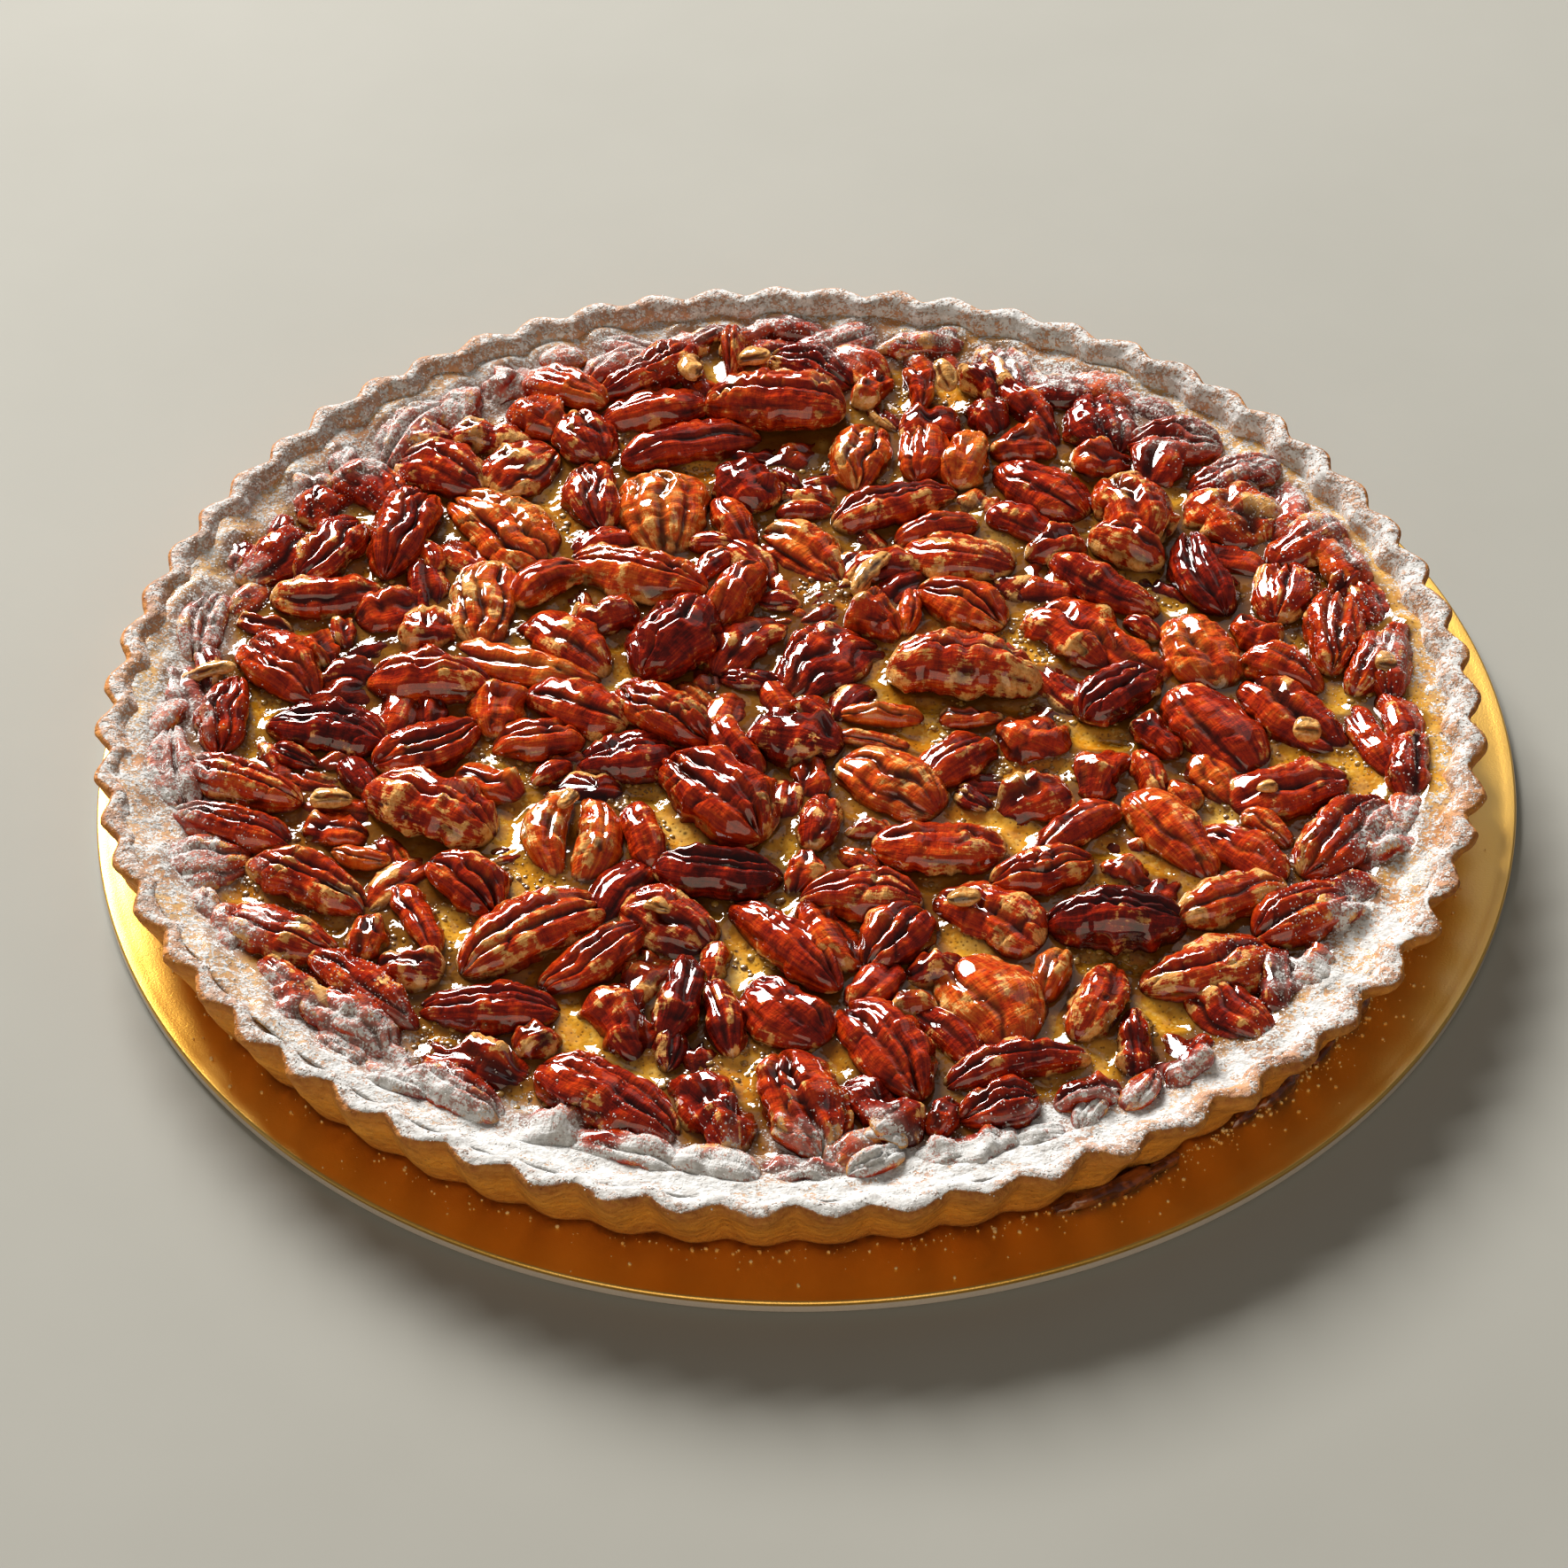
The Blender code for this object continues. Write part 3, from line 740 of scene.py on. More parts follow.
# pale germs and nibs lying on top, mm: x, y, heading, length, width, height above the caramel
paleNibs = (
    (-23.5, 113.4, 80, 9, 6, 8), (-9.5, 115.9, 10, 8, 5, 8), (34, 107.4, -75, 10, 5, 9),
    (123.5, 8.4, 20, 6, 5, 7), (-98, -25.6, 0, 9, 6, 6), (-49, -28.6, 60, 6, 3.5, 6.8),
    (-30.5, -60.6, -30, 6, 4, 7.3), (94.6, -28.6, 30, 5, 3.5, 6.8), (104.4, -12.2, 0, 6, 5, 7.5),
    (31, -59.6, 0, 7, 4, 7), (13.6, -121.6, -20, 9, 5, 5.5), (-127, 15.9, 10, 13, 4.5, 5.2),
    (15, 42.4, 60, 16, 5, 6.2),
)

# groove angles from the top, their depth and width, and how lumpy and cracked each face is
nutKinds = {
    "half": {"grooves": (-14, 13), "grooveDepth": 0.45, "grooveWidth": 6.6, "sideLumps": 0.26,
             "topLumps": 0.12, "crease": 0.26, "round": 0.54, "cracks": 0.19},
    "ribbed": {"grooves": (-38, -4, 32), "grooveDepth": 0.22, "grooveWidth": 6.0, "sideLumps": 0.18,
               "topLumps": 0.13, "crease": 0.10, "round": 0.44, "cracks": 0.14},
    "inner": {"grooves": (0,), "grooveDepth": 0.60, "grooveWidth": 10.0, "sideLumps": 0.22, "topLumps": 0.12,
              "crease": 0.05, "round": 0.46, "cracks": 0.16},
    "smooth": {"grooves": (16,), "grooveDepth": 0.14, "grooveWidth": 8.0, "sideLumps": 0.16, "topLumps": 0.08,
               "crease": 0.12, "round": 0.52, "cracks": 0.10},
    "sliver": {"grooves": (10,), "grooveDepth": 0.24, "grooveWidth": 9.0, "sideLumps": 0.24, "topLumps": 0.16,
               "crease": 0.15, "round": 0.50, "cracks": 0.12},
    "broken": {"grooves": (-8,), "grooveDepth": 0.24, "grooveWidth": 14.0, "sideLumps": 0.30,
               "topLumps": 0.28, "crease": 0.12, "round": 0.40, "cracks": 0.16},
    "nib": {"grooves": (40,), "grooveDepth": 0.10, "grooveWidth": 16.0, "sideLumps": 0.46, "topLumps": 0.42,
            "crease": 0.05, "round": 0.50, "cracks": 0.10},
}


def nutSkin(kindName, seed, length, width, thick, worn, stations=64, around=66):
    # one nut along X, its widest level at z=0: points, faces, skin values with painted shade and light, map
    # along it and the glaze's way
    kind = nutKinds[kindName]
    rng = np.random.default_rng(seed)

    def field(a, b, c, shift):
        return softNoise(np.stack((a, b, c), -1), seed + shift)

    share = (np.arange(stations) + 0.5) / stations
    steps = 0.62 * (share * 2 - 1) + 0.38 * -np.cos(pi * share)
    steps = steps / max(abs(steps)) * 0.992
    # more columns over the top, where the grooves are
    raw = np.linspace(0, 1, 721)
    density = 1 + 1.6 * bell(raw * 360 - 90, 48.0)
    total = np.concatenate(([0], np.cumsum((density[1:] + density[:-1]) / 2)))
    turns = np.interp((np.arange(around) + 0.5) / around * total[-1], total, raw * 360)
    run, angle = np.meshgrid(steps, turns, indexing="ij")
    tip = np.abs(run)                  # 0 in the middle, 1 at both tips
    rad = np.radians(angle)
    cosine, sine = np.cos(rad), np.sin(rad)
    side = np.sign(cosine)
    zero = run * 0
    along = run * length / 2
    fromTop = angle - 90
    fromTop = np.where(fromTop > 180, fromTop - 360, fromTop)
    down = np.abs(fromTop)             # degrees from the top, on either side
    taper = rng.uniform(-0.22, 0.22)
    outline = field(along / (6.5 * mm), side * 3, zero + seed, 15)
    halfWidth = width / 2 * (1 - tip ** 2.4) ** kind["round"] * (1 + taper * run + 0.12 * outline)
    outer = 0.62 * thick * (1 - tip ** 2.7) ** 0.5 * (1 + 0.5 * taper * run)
    inner = 0.38 * thick * (1 - tip ** 3.0) ** 0.5
    y = halfWidth * side * np.abs(cosine) ** 0.86
    z = np.where(sine > 0, outer * np.abs(sine) ** 0.92, -inner * np.abs(sine) ** 0.8)
    # the grooves wander, close up towards the tips and differ in depth
    wander = 11 * field(run * 2.3, zero + seed, zero, 0)
    groove = zero.copy()
    fade = smooth(1.04, 0.90, tip) if kindName == "half" else smooth(1.0, 0.70, tip)
    for number, centre in enumerate(kind["grooves"]):
        close = centre * (0.55 + 0.45 * np.sqrt(np.clip(1 - run ** 2, 0, 1))) + rng.uniform(-4, 4)
        broad = kind["grooveWidth"] * rng.uniform(0.75, 1.2)
        deep = rng.uniform(0.6, 1.1) * (0.85 + 0.4 * field(along / (8 * mm), zero + number, zero, 17))
        groove += bell(fromTop - close - wander, broad) * deep
    groove = np.clip(groove, 0, 1.1) * fade
    # a wavy crease along each side, where the shell side meets the wrinkled inner lobes
    wave = 9 * field(along / (5 * mm), np.sign(fromTop), zero + seed, 3)
    crease = bell(down - 74 - wave, 7.5) * smooth(1.0, 0.78, tip)
    crease = crease * (0.55 + 0.45 * field(along / (7 * mm), fromTop / 200, zero, 4))
    under = bell(down - 180, 16.0) * smooth(1.0, 0.7, tip)
    crinkle = layeredNoise(np.stack((along / (2.4 * mm), rad * 0.95, zero + seed * 3.7), -1), seed, 2)
    lobes = field(along / (5.5 * mm), sine * 1.2, cosine * 1.5 + seed, 5)
    veins = field(along / (8 * mm), rad * 7.5, zero + seed, 9)
    fine = field(along / (1.5 * mm), y / (1.5 * mm), z / (1.5 * mm) + seed, 11)
    lumps = field(along / (3.1 * mm), y / (3.1 * mm), z / (3.1 * mm) + seed, 12)
    # narrow cracks that run slanting across the lobes
    lines = field(along / (4.2 * mm) + fromTop / 70, fromTop / 52, zero + seed * 1.3, 13)
    crack = np.clip(1 - np.abs(lines) * 5.5, 0, 1) * smooth(1.0, 0.86, tip) * smooth(150, 110, down)
    crack = crack * np.clip(0.55 + 0.9 * lobes, 0.1, 1)
    sides = bell(down - 104, 34.0)
    amount = kind["sideLumps"] * sides + kind["topLumps"] * smooth(80, 40, down) + 0.06 * (down > 120)
    swell = 1 + amount * (0.8 * crinkle + 0.5 * lobes) + 0.010 * veins
    swell = swell + 0.034 * fine + 0.06 * lobes + 0.065 * lumps
    swell -= kind["grooveDepth"] * groove * (1 + 0.35 * smooth(0.7, 0.97, tip))
    swell -= kind["crease"] * crease + 0.30 * under + kind["cracks"] * crack
    if len(kind["grooves"]) == 2:      # the narrow ridge between them stands lower than the lobes
        swell -= 0.09 * bell(fromTop, 9.0) * fade
    if kindName == "broken":
        swell += 0.22 * lobes
    lopsided = 1 + rng.uniform(-0.14, 0.14) * cosine
    y = y * (0.6 * swell + 0.4) if kindName in ("half", "ribbed", "smooth") else y * swell
    z = z * swell * lopsided
    # forked tips, a slight banana bend and a sag of the ends
    along = along * (1 - 0.15 * groove * smooth(0.6, 1.0, tip))
    bend = rng.uniform(-0.08, 0.08) * length
    y = y + bend * (run ** 2 - 0.3)
    z = z - rng.uniform(0.0, 0.07) * length * run ** 2
    ends = [(float(np.mean(along[end])) + way * 0.004 * length,
             float(np.mean(y[end])), float(np.mean(z[end]))) for end, way in ((0, -1), (-1, 1))]
    points = np.concatenate((np.stack((along, y, z), -1).reshape(-1, 3), ends))
    faces = [(face[0], *face[:0:-1]) if len(face) == 4 else (face[1], face[0], face[2])
             for face in closedGrid(stations, around, len(points))]
    # the way the thick glaze faces: like the nut without its grooves and wrinkles
    plain = np.stack((run * length / 2, halfWidth * side * np.abs(cosine) ** 0.9,
                      np.where(sine > 0, outer * sine, -inner * np.abs(sine))), -1)
    plain = plain + (0.34 * mm * softNoise(plain / (3.0 * mm) + seed, seed + 20))[..., None]
    plain = plain - (0.10 * thick * groove)[..., None] * np.array((0, 0, 1))
    goAlong = np.gradient(plain, axis=0)
    goRound = np.roll(plain, -1, 1) - np.roll(plain, 1, 1)
    glaze = np.cross(goRound, goAlong).reshape(-1, 3)
    glaze = glaze / np.maximum(np.linalg.norm(glaze, axis=1, keepdims=True), 1e-12)
    glaze = -glaze if np.sum(glaze * plain.reshape(-1, 3)) < 0 else glaze
    glaze = np.concatenate((glaze, [(-1, 0, 0), (1, 0, 0)]))
    patch = 0.24 + 0.42 * worn + 0.22 * lobes + 0.08 * crinkle - 0.5 * groove
    patch = patch + 0.08 * sides + 0.16 * smooth(0.80, 1.0, tip)
    # painted shade: the skin is darkened in the crinkles' valleys, the grooves, the side creases, the cracks
    # and on the underside, where shade falls
    valleyShade = np.clip(-crinkle, 0, 1) * np.clip(amount * 4, 0, 1)
    paintedShade = groove * 0.95 + 0.8 * crease + 0.45 * valleyShade + under + 0.65 * crack
    # painted light and shade: lighter where the skin swells out in lumps and lobes, darker in its hollows
    crestLight = 0.5 + 0.35 * crinkle * np.clip(amount * 5, 0.2, 1) + 0.25 * lobes + 0.2 * veins + 0.15 * lumps
    skin = np.clip(np.stack((paintedShade, patch, crestLight), -1), 0, 1).reshape(-1, 3)
    skin = np.concatenate((skin, [(0.1, 0.3, 0.5)] * 2))
    uv = np.stack((along / mm, rad / (2 * pi) * width * 3 / mm), -1).reshape(-1, 2)
    uv = np.concatenate((uv, [(-length / 2 / mm, 0), (length / 2 / mm, 0)])) + seed * 13.7
    return points, faces, skin, uv, glaze


def placed(shape, spot, heading, roll, pitch, top):
    # a nut turned, and set down so that its highest point is at the height named top
    points, faces, skin, uv, glaze = shape
    turn = Matrix.Rotation(math.radians(heading), 3, "Z") @ Matrix.Rotation(math.radians(pitch), 3, "Y")
    turn = np.array(turn @ Matrix.Rotation(math.radians(roll), 3, "X")).T
    moved = points @ turn
    moved[:, 0] += spot[0]
    moved[:, 1] += spot[1]
    moved[:, 2] += top - moved[:, 2].max()
    return moved, faces, skin, uv, glaze @ turn


def drawIn(points):
    # moves a nut towards the middle where it would go through the crust
    x, y, radius = fromMiddle(points)
    limit = wallRadius(np.clip(points[:, 2], level, 1)) - 0.4 * mm
    move = float(np.maximum(radius - limit, 0).max())
    if move > 0:
        middle = points[:, :2].mean(axis=0) - np.array((tartX, tartY))
        points[:, :2] -= middle / np.linalg.norm(middle) * move


def shifted(faces, count):
    # the faces of one more shape after count points
    return [tuple(index + count for index in face) for face in faces]


def nutObject(name, nuts, material):
    # joins the nuts, each with its tone, in one piece
    faces = []
    skins = []
    count = 0
    for (points, nutFace, skin, uv, glaze), tone in nuts:
        faces += shifted(nutFace, count)
        # painted shade: each nut is darkened where it nears the caramel and below it
        caramelLineShade = 0.8 * smooth(level + 2.0 * mm, level + 0.3 * mm, points[:, 2])
        tones = np.full(len(skin), tone)
        skins.append(np.column_stack((np.maximum(skin[:, 0], caramelLineShade), skin[:, 1], tones, skin[:, 2])))
        count += len(points)
    points, maps, ways = [np.concatenate([shape[part] for shape, tone in nuts]) for part in (0, 3, 4)]
    piece = meshObject(name, points, faces)
    mesh = piece.data
    mesh.color_attributes.new("skin", "FLOAT_COLOR", "POINT")
    mesh.color_attributes["skin"].data.foreach_set("color", np.concatenate(skins).ravel())
    mesh.attributes.new("glaze", "FLOAT_VECTOR", "POINT")
    mesh.attributes["glaze"].data.foreach_set("vector", ways.ravel())
    corners = np.empty(len(mesh.loops), dtype=np.int32)
    mesh.loops.foreach_get("vertex_index", corners)
    mesh.uv_layers.new(name="along").data.foreach_set("uv", maps[corners].ravel())
    mesh.materials.append(material)
    return piece


def cadNutPlace(node):
    # middle, heading, length, width and top of a CAD nut, from its own points
    points = readMesh(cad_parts[node].data.vertices, "co", 3)
    flat = np.unique(np.round(points[:, :2], 6), axis=0)
    low = points[points[:, 2] < points[:, 2].min() + 2 * mm][:, :2]
    middle = (low.min(axis=0) + low.max(axis=0)) / 2
    spread = flat - middle
    across, way = np.linalg.eigh(spread.T @ spread)[1].T
    heading = math.degrees(math.atan2(way[1], way[0]))
    return middle, heading, np.ptp(spread @ way), np.ptp(spread @ across), points[:, 2].max()


laidNuts = []     # every nut's points and faces, for the caramel's surface and the sugar on them
nutSize = {
    "cadLonger": 1.09,      # a skin is made larger than its nut shows, as its rounded side goes under
    "longer": 1.12,
    "wider": 1.13,
    "thickness": 0.56,      # share of the width
}


def makeNuts(material):
    rng = np.random.default_rng(71)
    for index, (kindName, roll, tone, worn) in enumerate(shownNuts):
        node = "pecan_%02d" % (index + 1)
        middle, heading, length, width, top = cadNutPlace(node)
        if heading < -90 or heading > 90:
            heading -= 180
        thick = max(nutSize["thickness"] * width, top - level + 2.4 * mm)
        pitch = rng.uniform(-5, 5)
        isTwin = kindName == "twin"
        # two arms side by side, or one whole nut: shift sideways, share of the length and the width
        arms = ((-0.25, 1.0, 0.54), (0.25, 0.94, 0.56)) if isTwin else ((0, 1, 1),)
        nuts = []
        for number, (shift, longShare, wideShare) in enumerate(arms):
            shape = nutSkin("smooth" if isTwin else kindName, 100 + index + 200 * number,
                            length * nutSize["cadLonger"] * longShare, width * nutSize["wider"] * wideShare,
                            thick, worn)
            points = shape[0]
            if isTwin:       # the arms curve round the gap between them
                curve = 0.10 * width * (1 - 2 * (points[:, 0] / length * 2) ** 2)
                points[:, 1] += curve * (-1 if shift < 0 else 1)
            points[:, 1] += shift * width
            # a roll below zero tips the top away from the viewer and shows the near side
            shape = placed(shape, middle, heading, roll, pitch, top)
            drawIn(shape[0])
            nuts.append((shape, tone))
        piece = nutObject("nut_" + node[-2:], nuts, material)
        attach(piece, "root")
        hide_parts(node)
        laidNuts.extend(shape[:2] for shape, tone in nuts)


def makeFurtherNuts(material):
    groups = (
        ("looseHalves", furtherHalves, "half", 44, 46, 300),
        ("flatNuts", flatPieces, "ribbed", 44, 46, 400),
        ("nutSlivers", slivers, "sliver", 36, 36, 500),
        ("brokenNuts", brokenBits, "broken", 32, 36, 600),
    )
    for name, rows, kindName, stations, around, seed in groups:
        rng = np.random.default_rng(seed)
        nuts = []
        for index, (x, y, heading, length, width, height, tone) in enumerate(rows):
            thick = max(nutSize["thickness"] * width, height + 2.2) * mm
            shape = nutSkin(kindName, seed + index, length * nutSize["longer"] * mm,
                            width * nutSize["wider"] * mm, thick, rng.uniform(0.0, 0.6), stations, around)
            shape = placed(shape, (x * mm, y * mm), heading, rng.uniform(-20, 20), rng.uniform(-7, 7),
                           level + height * mm)
            drawIn(shape[0])
            nuts.append((shape, tone + rng.uniform(-0.06, 0.06)))
            laidNuts.append(shape[:2])
        piece = nutObject(name, nuts, material)
        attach(piece, "root")


def makeNibs(material):
    rng = np.random.default_rng(55)
    nuts = []
    for index, (x, y, heading, length, width, height) in enumerate(paleNibs):
        shape = nutSkin("nib", 700 + index, length * mm, width * mm, 0.62 * width * mm, 1.5, 26, 26)
        nuts.append((placed(shape, (x * mm, y * mm), heading, rng.uniform(-20, 20), rng.uniform(-15, 15),
                            level + (height - 0.7) * mm), 1.0))
    piece = nutObject("paleNibs", nuts, material)
    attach(piece, "root")


sunken = {
    "tries": 12000,
    "most": 300,
    "inRing": 0.36,         # the share of tries near the crust
    "ring": (0.115, 0.1315),
    "field": 0.124,
    "space": 0.47,          # the share of nut nearby that still leaves room
    "low": 1.3,             # mm that they show above the caramel
    "high": 3.9,
    "seed": 12,
}


def makeSunkenNuts(material):
    # nuts and bits that lie mostly in the caramel, where the others leave room
    rng = np.random.default_rng(sunken["seed"])
    near = blurred(nutCover(), 3.0 * mm / caramel["cell"])
    groups = {"sunkenHalves": [], "sunkenBits": []}
    for index in range(sunken["tries"]):
        if sum(len(nuts) for nuts in groups.values()) == sunken["most"]:
            break
        inRing = rng.uniform() < sunken["inRing"]
        out = rng.uniform(*sunken["ring"]) if inRing else sunken["field"] * math.sqrt(rng.uniform())
        angle = rng.uniform(0, 2 * pi)
        x = tartX + out * math.cos(angle)
        y = tartY + out * math.sin(angle)
        if readGrid(near, np.array((x,)), np.array((y,)))[0] > sunken["space"]:
            continue
        kindName = ("half", "sliver", "broken", "smooth", "ribbed", "broken")[rng.integers(6)]
        length = rng.uniform(10, 23) * mm
        width = rng.uniform(0.42, 0.64) * length
        height = rng.uniform(sunken["low"], sunken["high"]) * mm
        heading = rng.uniform(-90, 90)
        if inRing:                       # along the wall, more or less, and higher, as the caramel is there
            heading = math.degrees(angle) + 90 + rng.uniform(-35, 35)
            height += 1.5 * mm
        shape = nutSkin(kindName, 900 + index, length, width, 0.5 * width + 2 * mm,
                        rng.uniform(0.0, 0.6), 22, 24)
        shape = placed(shape, (x, y), heading, rng.uniform(-25, 25), rng.uniform(-6, 6), level + height)
        drawIn(shape[0])
        group = "sunkenBits" if kindName in ("sliver", "broken") else "sunkenHalves"
        groups[group].append((shape, rng.uniform(0.18, 0.60)))
        laidNuts.append(shape[:2])
        column, row = gridCell(shape[0][shape[0][:, 2] > level])
        for dx in range(-2, 3):
            for dy in range(-2, 3):
                near[column + dx, row + dy] = 1
    for name, nuts in groups.items():
        piece = nutObject(name, nuts, material)
        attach(piece, "root")
        print(name + ":", len(nuts))


caramel = {
    "rings": 132,
    "columns": 640,
    "cell": 0.6 * mm,        # grid that the nuts are laid on to find the gaps
    "reach": 0.142,          # half its width
    "climb": 2.2 * mm,       # how far it creeps up the nuts
    "gapDrop": 1.1 * mm,     # how much lower it lies in narrow gaps
    "creep": 1.7 * mm,       # how wide that is
    "gapWidth": 4.5 * mm,
    "swell": 0.35 * mm,      # its slow waves, and how long they are
    "swellLength": 16 * mm,
    "ripple": 0.12 * mm,     # and its small ones
    "rippleLength": 2.6 * mm,
    "driftRipple": 0.24 * mm,
}


def gridPlace(x, y):
    # where that is on the grid, in cells
    return (x - tartX + caramel["reach"]) / caramel["cell"], (y - tartY + caramel["reach"]) / caramel["cell"]


def gridCell(points):
    return [place.astype(int) for place in gridPlace(points[:, 0], points[:, 1])]


def nutCover():
    # grid of how much nut there is at the caramel's level
    size = int(2 * caramel["reach"] / caramel["cell"])
    grid = np.zeros((size, size))
    for points, faces in laidNuts:
        column, row = gridCell(points[points[:, 2] > level + 0.2 * mm])
        keep = (column >= 0) & (column < size) & (row >= 0) & (row < size)
        grid[column[keep], row[keep]] = 1
    for axis in (0, 1):     # close the gaps between the points
        grid = np.maximum(grid, np.maximum(np.roll(grid, 1, axis), np.roll(grid, -1, axis)))
    return grid


def readGrid(grid, x, y):
    # the grid's value there, blended between its four nearest cells
    gx, gy = [np.clip(place - 0.5, 0, len(grid) - 1.001) for place in gridPlace(x, y)]
    ix, iy = gx.astype(int), gy.astype(int)
    fx, fy = gx - ix, gy - iy
    return ((1 - fx) * (1 - fy) * grid[ix, iy] + fx * (1 - fy) * grid[ix + 1, iy]
            + (1 - fx) * fy * grid[ix, iy + 1] + fx * fy * grid[ix + 1, iy + 1])


def makeCaramel():
    cover = nutCover()
    rings, columns = caramel["rings"], caramel["columns"]
    angles = 2 * pi * np.arange(columns) / columns
    # it stands highest against the wall at the left and front, and lowest at the back
    front = 0.5 - 0.35 * np.sin(angles + 0.5) - 0.15 * np.cos(angles)
    wallRise = (0.9 + 2.6 * front) * mm
    driftRise = (0.5 + 1.1 * front) * mm
    wallTop = level + wallRise + driftRise
    edge = wallRadius(wallTop) + slowReach(angles, wallTop) + 1.5 * mm
    shares = (np.arange(1, rings + 1) / rings) ** 0.82
    out = shares[:, None] * edge[None, :]
    around = np.broadcast_to(angles, out.shape)
    x = tartX + out * np.cos(around)
    y = tartY + out * np.sin(around)
    spot = np.stack((x / caramel["swellLength"], y / caramel["swellLength"], x * 0), -1)
    small = np.stack((x / caramel["rippleLength"], y / caramel["rippleLength"], x * 0 + 3), -1)
    nearby, gap = [readGrid(blurred(cover, caramel[width] / caramel["cell"]), x, y)
                   for width in ("creep", "gapWidth")]
    z = level + caramel["swell"] * layeredNoise(spot, 21, 2) + caramel["ripple"] * softNoise(small, 22)
    z += caramel["climb"] * np.clip(nearby, 0, 0.75) ** 1.6
    z -= caramel["gapDrop"] * np.clip((gap - 0.5) * 2.5, 0, 1)
    fromEdge = edge[None, :] - out
    drift = smooth(18 * mm, 4 * mm, fromEdge)
    z += wallRise * smooth(9 * mm, 0, fromEdge) + driftRise * drift * (1 + 0.45 * softNoise(spot * 1.5, 24))
    z += caramel["driftRipple"] * drift * layeredNoise(small * 0.8, 25, 2)
    bottom = fillingLow[2]
    skirt = [(tartX + radius * np.cos(angle), tartY + radius * np.sin(angle), bottom)
             for radius in (wallRadius(bottom) - 0.4 * mm, 0.5 * wallRadius(bottom)) for angle in angles]
    points = np.concatenate((np.stack((x, y, z), -1).reshape(-1, 3), skirt,
                             [(tartX, tartY, float(z[0].mean())), (tartX, tartY, bottom)]))
    faces = [face[::-1] for face in closedGrid(rings + 2, columns, len(points))]
    piece = meshObject("caramelFilling", points, faces)
    # the depth colour holds painted shade: in narrow gaps, and close to the nuts
    depth = np.zeros((len(points), 4))
    depth[:, 3] = 1
    depth[:x.size, 0] = depth[:x.size, 2] = np.clip((gap - 0.72) / 0.22, 0, 1).ravel()
    depth[:x.size, 1] = nearby.ravel()
    piece.data.color_attributes.new("depth", "FLOAT_COLOR", "POINT")
    piece.data.color_attributes["depth"].data.foreach_set("color", depth.ravel())
    piece.data.materials.append(caramelFinish())
    return piece


def scatterTree():
    # Geometry Nodes: spreads turned copies of a small shape where the ground's own density is high
    nodes, given = newTree("scatterShapes", {"shape": "Object", "perArea": "Float", "smallest": "Float",
                                             "largest": "Float", "tumble": "Float", "seed": "Int",
                                             "finish": "Material"})
    spread = nodes.add("GeometryNodeDistributePointsOnFaces", {
        "Mesh": given["Geometry"], "Seed": given["seed"],
        "Density": named(nodes, "density") * given["perArea"],
    }, "Points")
    shape = nodes.add("GeometryNodeObjectInfo", {"Object": given["shape"]}, "Geometry")
    turns = [nodes.add("FunctionNodeRandomValue", {2: -pi, 3: pi, "Seed": number}, 1, data_type="FLOAT")
             for number in range(3)]
    turn = nodes.add("ShaderNodeCombineXYZ", {
        0: turns[0] * given["tumble"], 1: turns[1] * given["tumble"], 2: turns[2]})
    size = nodes.add("FunctionNodeRandomValue", {"Seed": 5}, 1, data_type="FLOAT")
    scale = nodes.add("ShaderNodeMapRange", {
        "Value": nodes.math("POWER", size, 2), "To Min": given["smallest"], "To Max": given["largest"]})
    copies = nodes.add("GeometryNodeInstanceOnPoints", {
        "Points": spread, "Instance": shape, "Rotation": turn, "Scale": scale})
    return finishTree(nodes, copies, given["finish"])


def roundShape(name, rows, columns, lumps, seed, flat=1.0):
    # a small closed ball of radius 1 with poles, made uneven by the share named lumps
    rng = np.random.default_rng(seed)
    points = []
    for row in range(1, rows):
        for column in range(columns):
            down = pi * row / rows
            way = 2 * pi * (column + 0.5 * (row % 2)) / columns
            out = 1 + rng.uniform(-lumps, lumps)
            points.append((out * math.sin(down) * math.cos(way), out * math.sin(down) * math.sin(way),
                           -out * math.cos(down) * flat))
    points += [(0, 0, -flat), (0, 0, flat)]
    return meshObject(name, points, closedGrid(rows - 1, columns, len(points)))


def bed(name, points, faces, density):
    # the ground that things are scattered on: only the faces where some may lie
    density = np.asarray(density)
    kept = [face for face in faces if max(density[list(face)]) > 0]
    used = sorted({index for face in kept for index in face})
    place = {index: number for number, index in enumerate(used)}
    faces = [tuple(place[index] for index in face) for face in kept]
    piece = meshObject(name, np.asarray(points)[used], faces)
    attribute = piece.data.attributes.new("density", "FLOAT", "POINT")
    attribute.data.foreach_set("value", density[used])
    return piece


def scatter(name, ground, shape, finish, sizes, tumble):
    applyTree(ground, scatterTree(), {**sizes, "shape": shape, "tumble": tumble, "finish": finish})
    ground.name = name
    ground.data.polygons.foreach_set("use_smooth", [True] * len(ground.data.polygons))
    bpy.data.objects.remove(shape)
    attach(ground, "root")
    print(name, "faces:", len(ground.data.polygons))


grains = {
    "perArea": 760000,
    "smallest": 0.10 * mm,
    "largest": 0.30 * mm,
    "from": 0.104,          # the first stray grains
    "most": 0.1235,         # where they lie closest
    "patchy": 0.010,
    "seed": 8,
}


def grainDensity(points):
    # few strays towards the middle, most at the ring's inner edge
    x, y, radius = fromMiddle(points)
    patches = grains["patchy"] * flatNoise(x, y, 11 * mm, 31)
    amount = smooth(grains["from"], grains["most"], radius + patches)
    amount = amount ** 1.6 * np.clip(0.6 + 0.7 * flatNoise(x, y, 3 * mm, 32), 0.05, 1.2)
    return amount * (0.30 + 0.7 * smooth(0.1375, 0.128, radius))


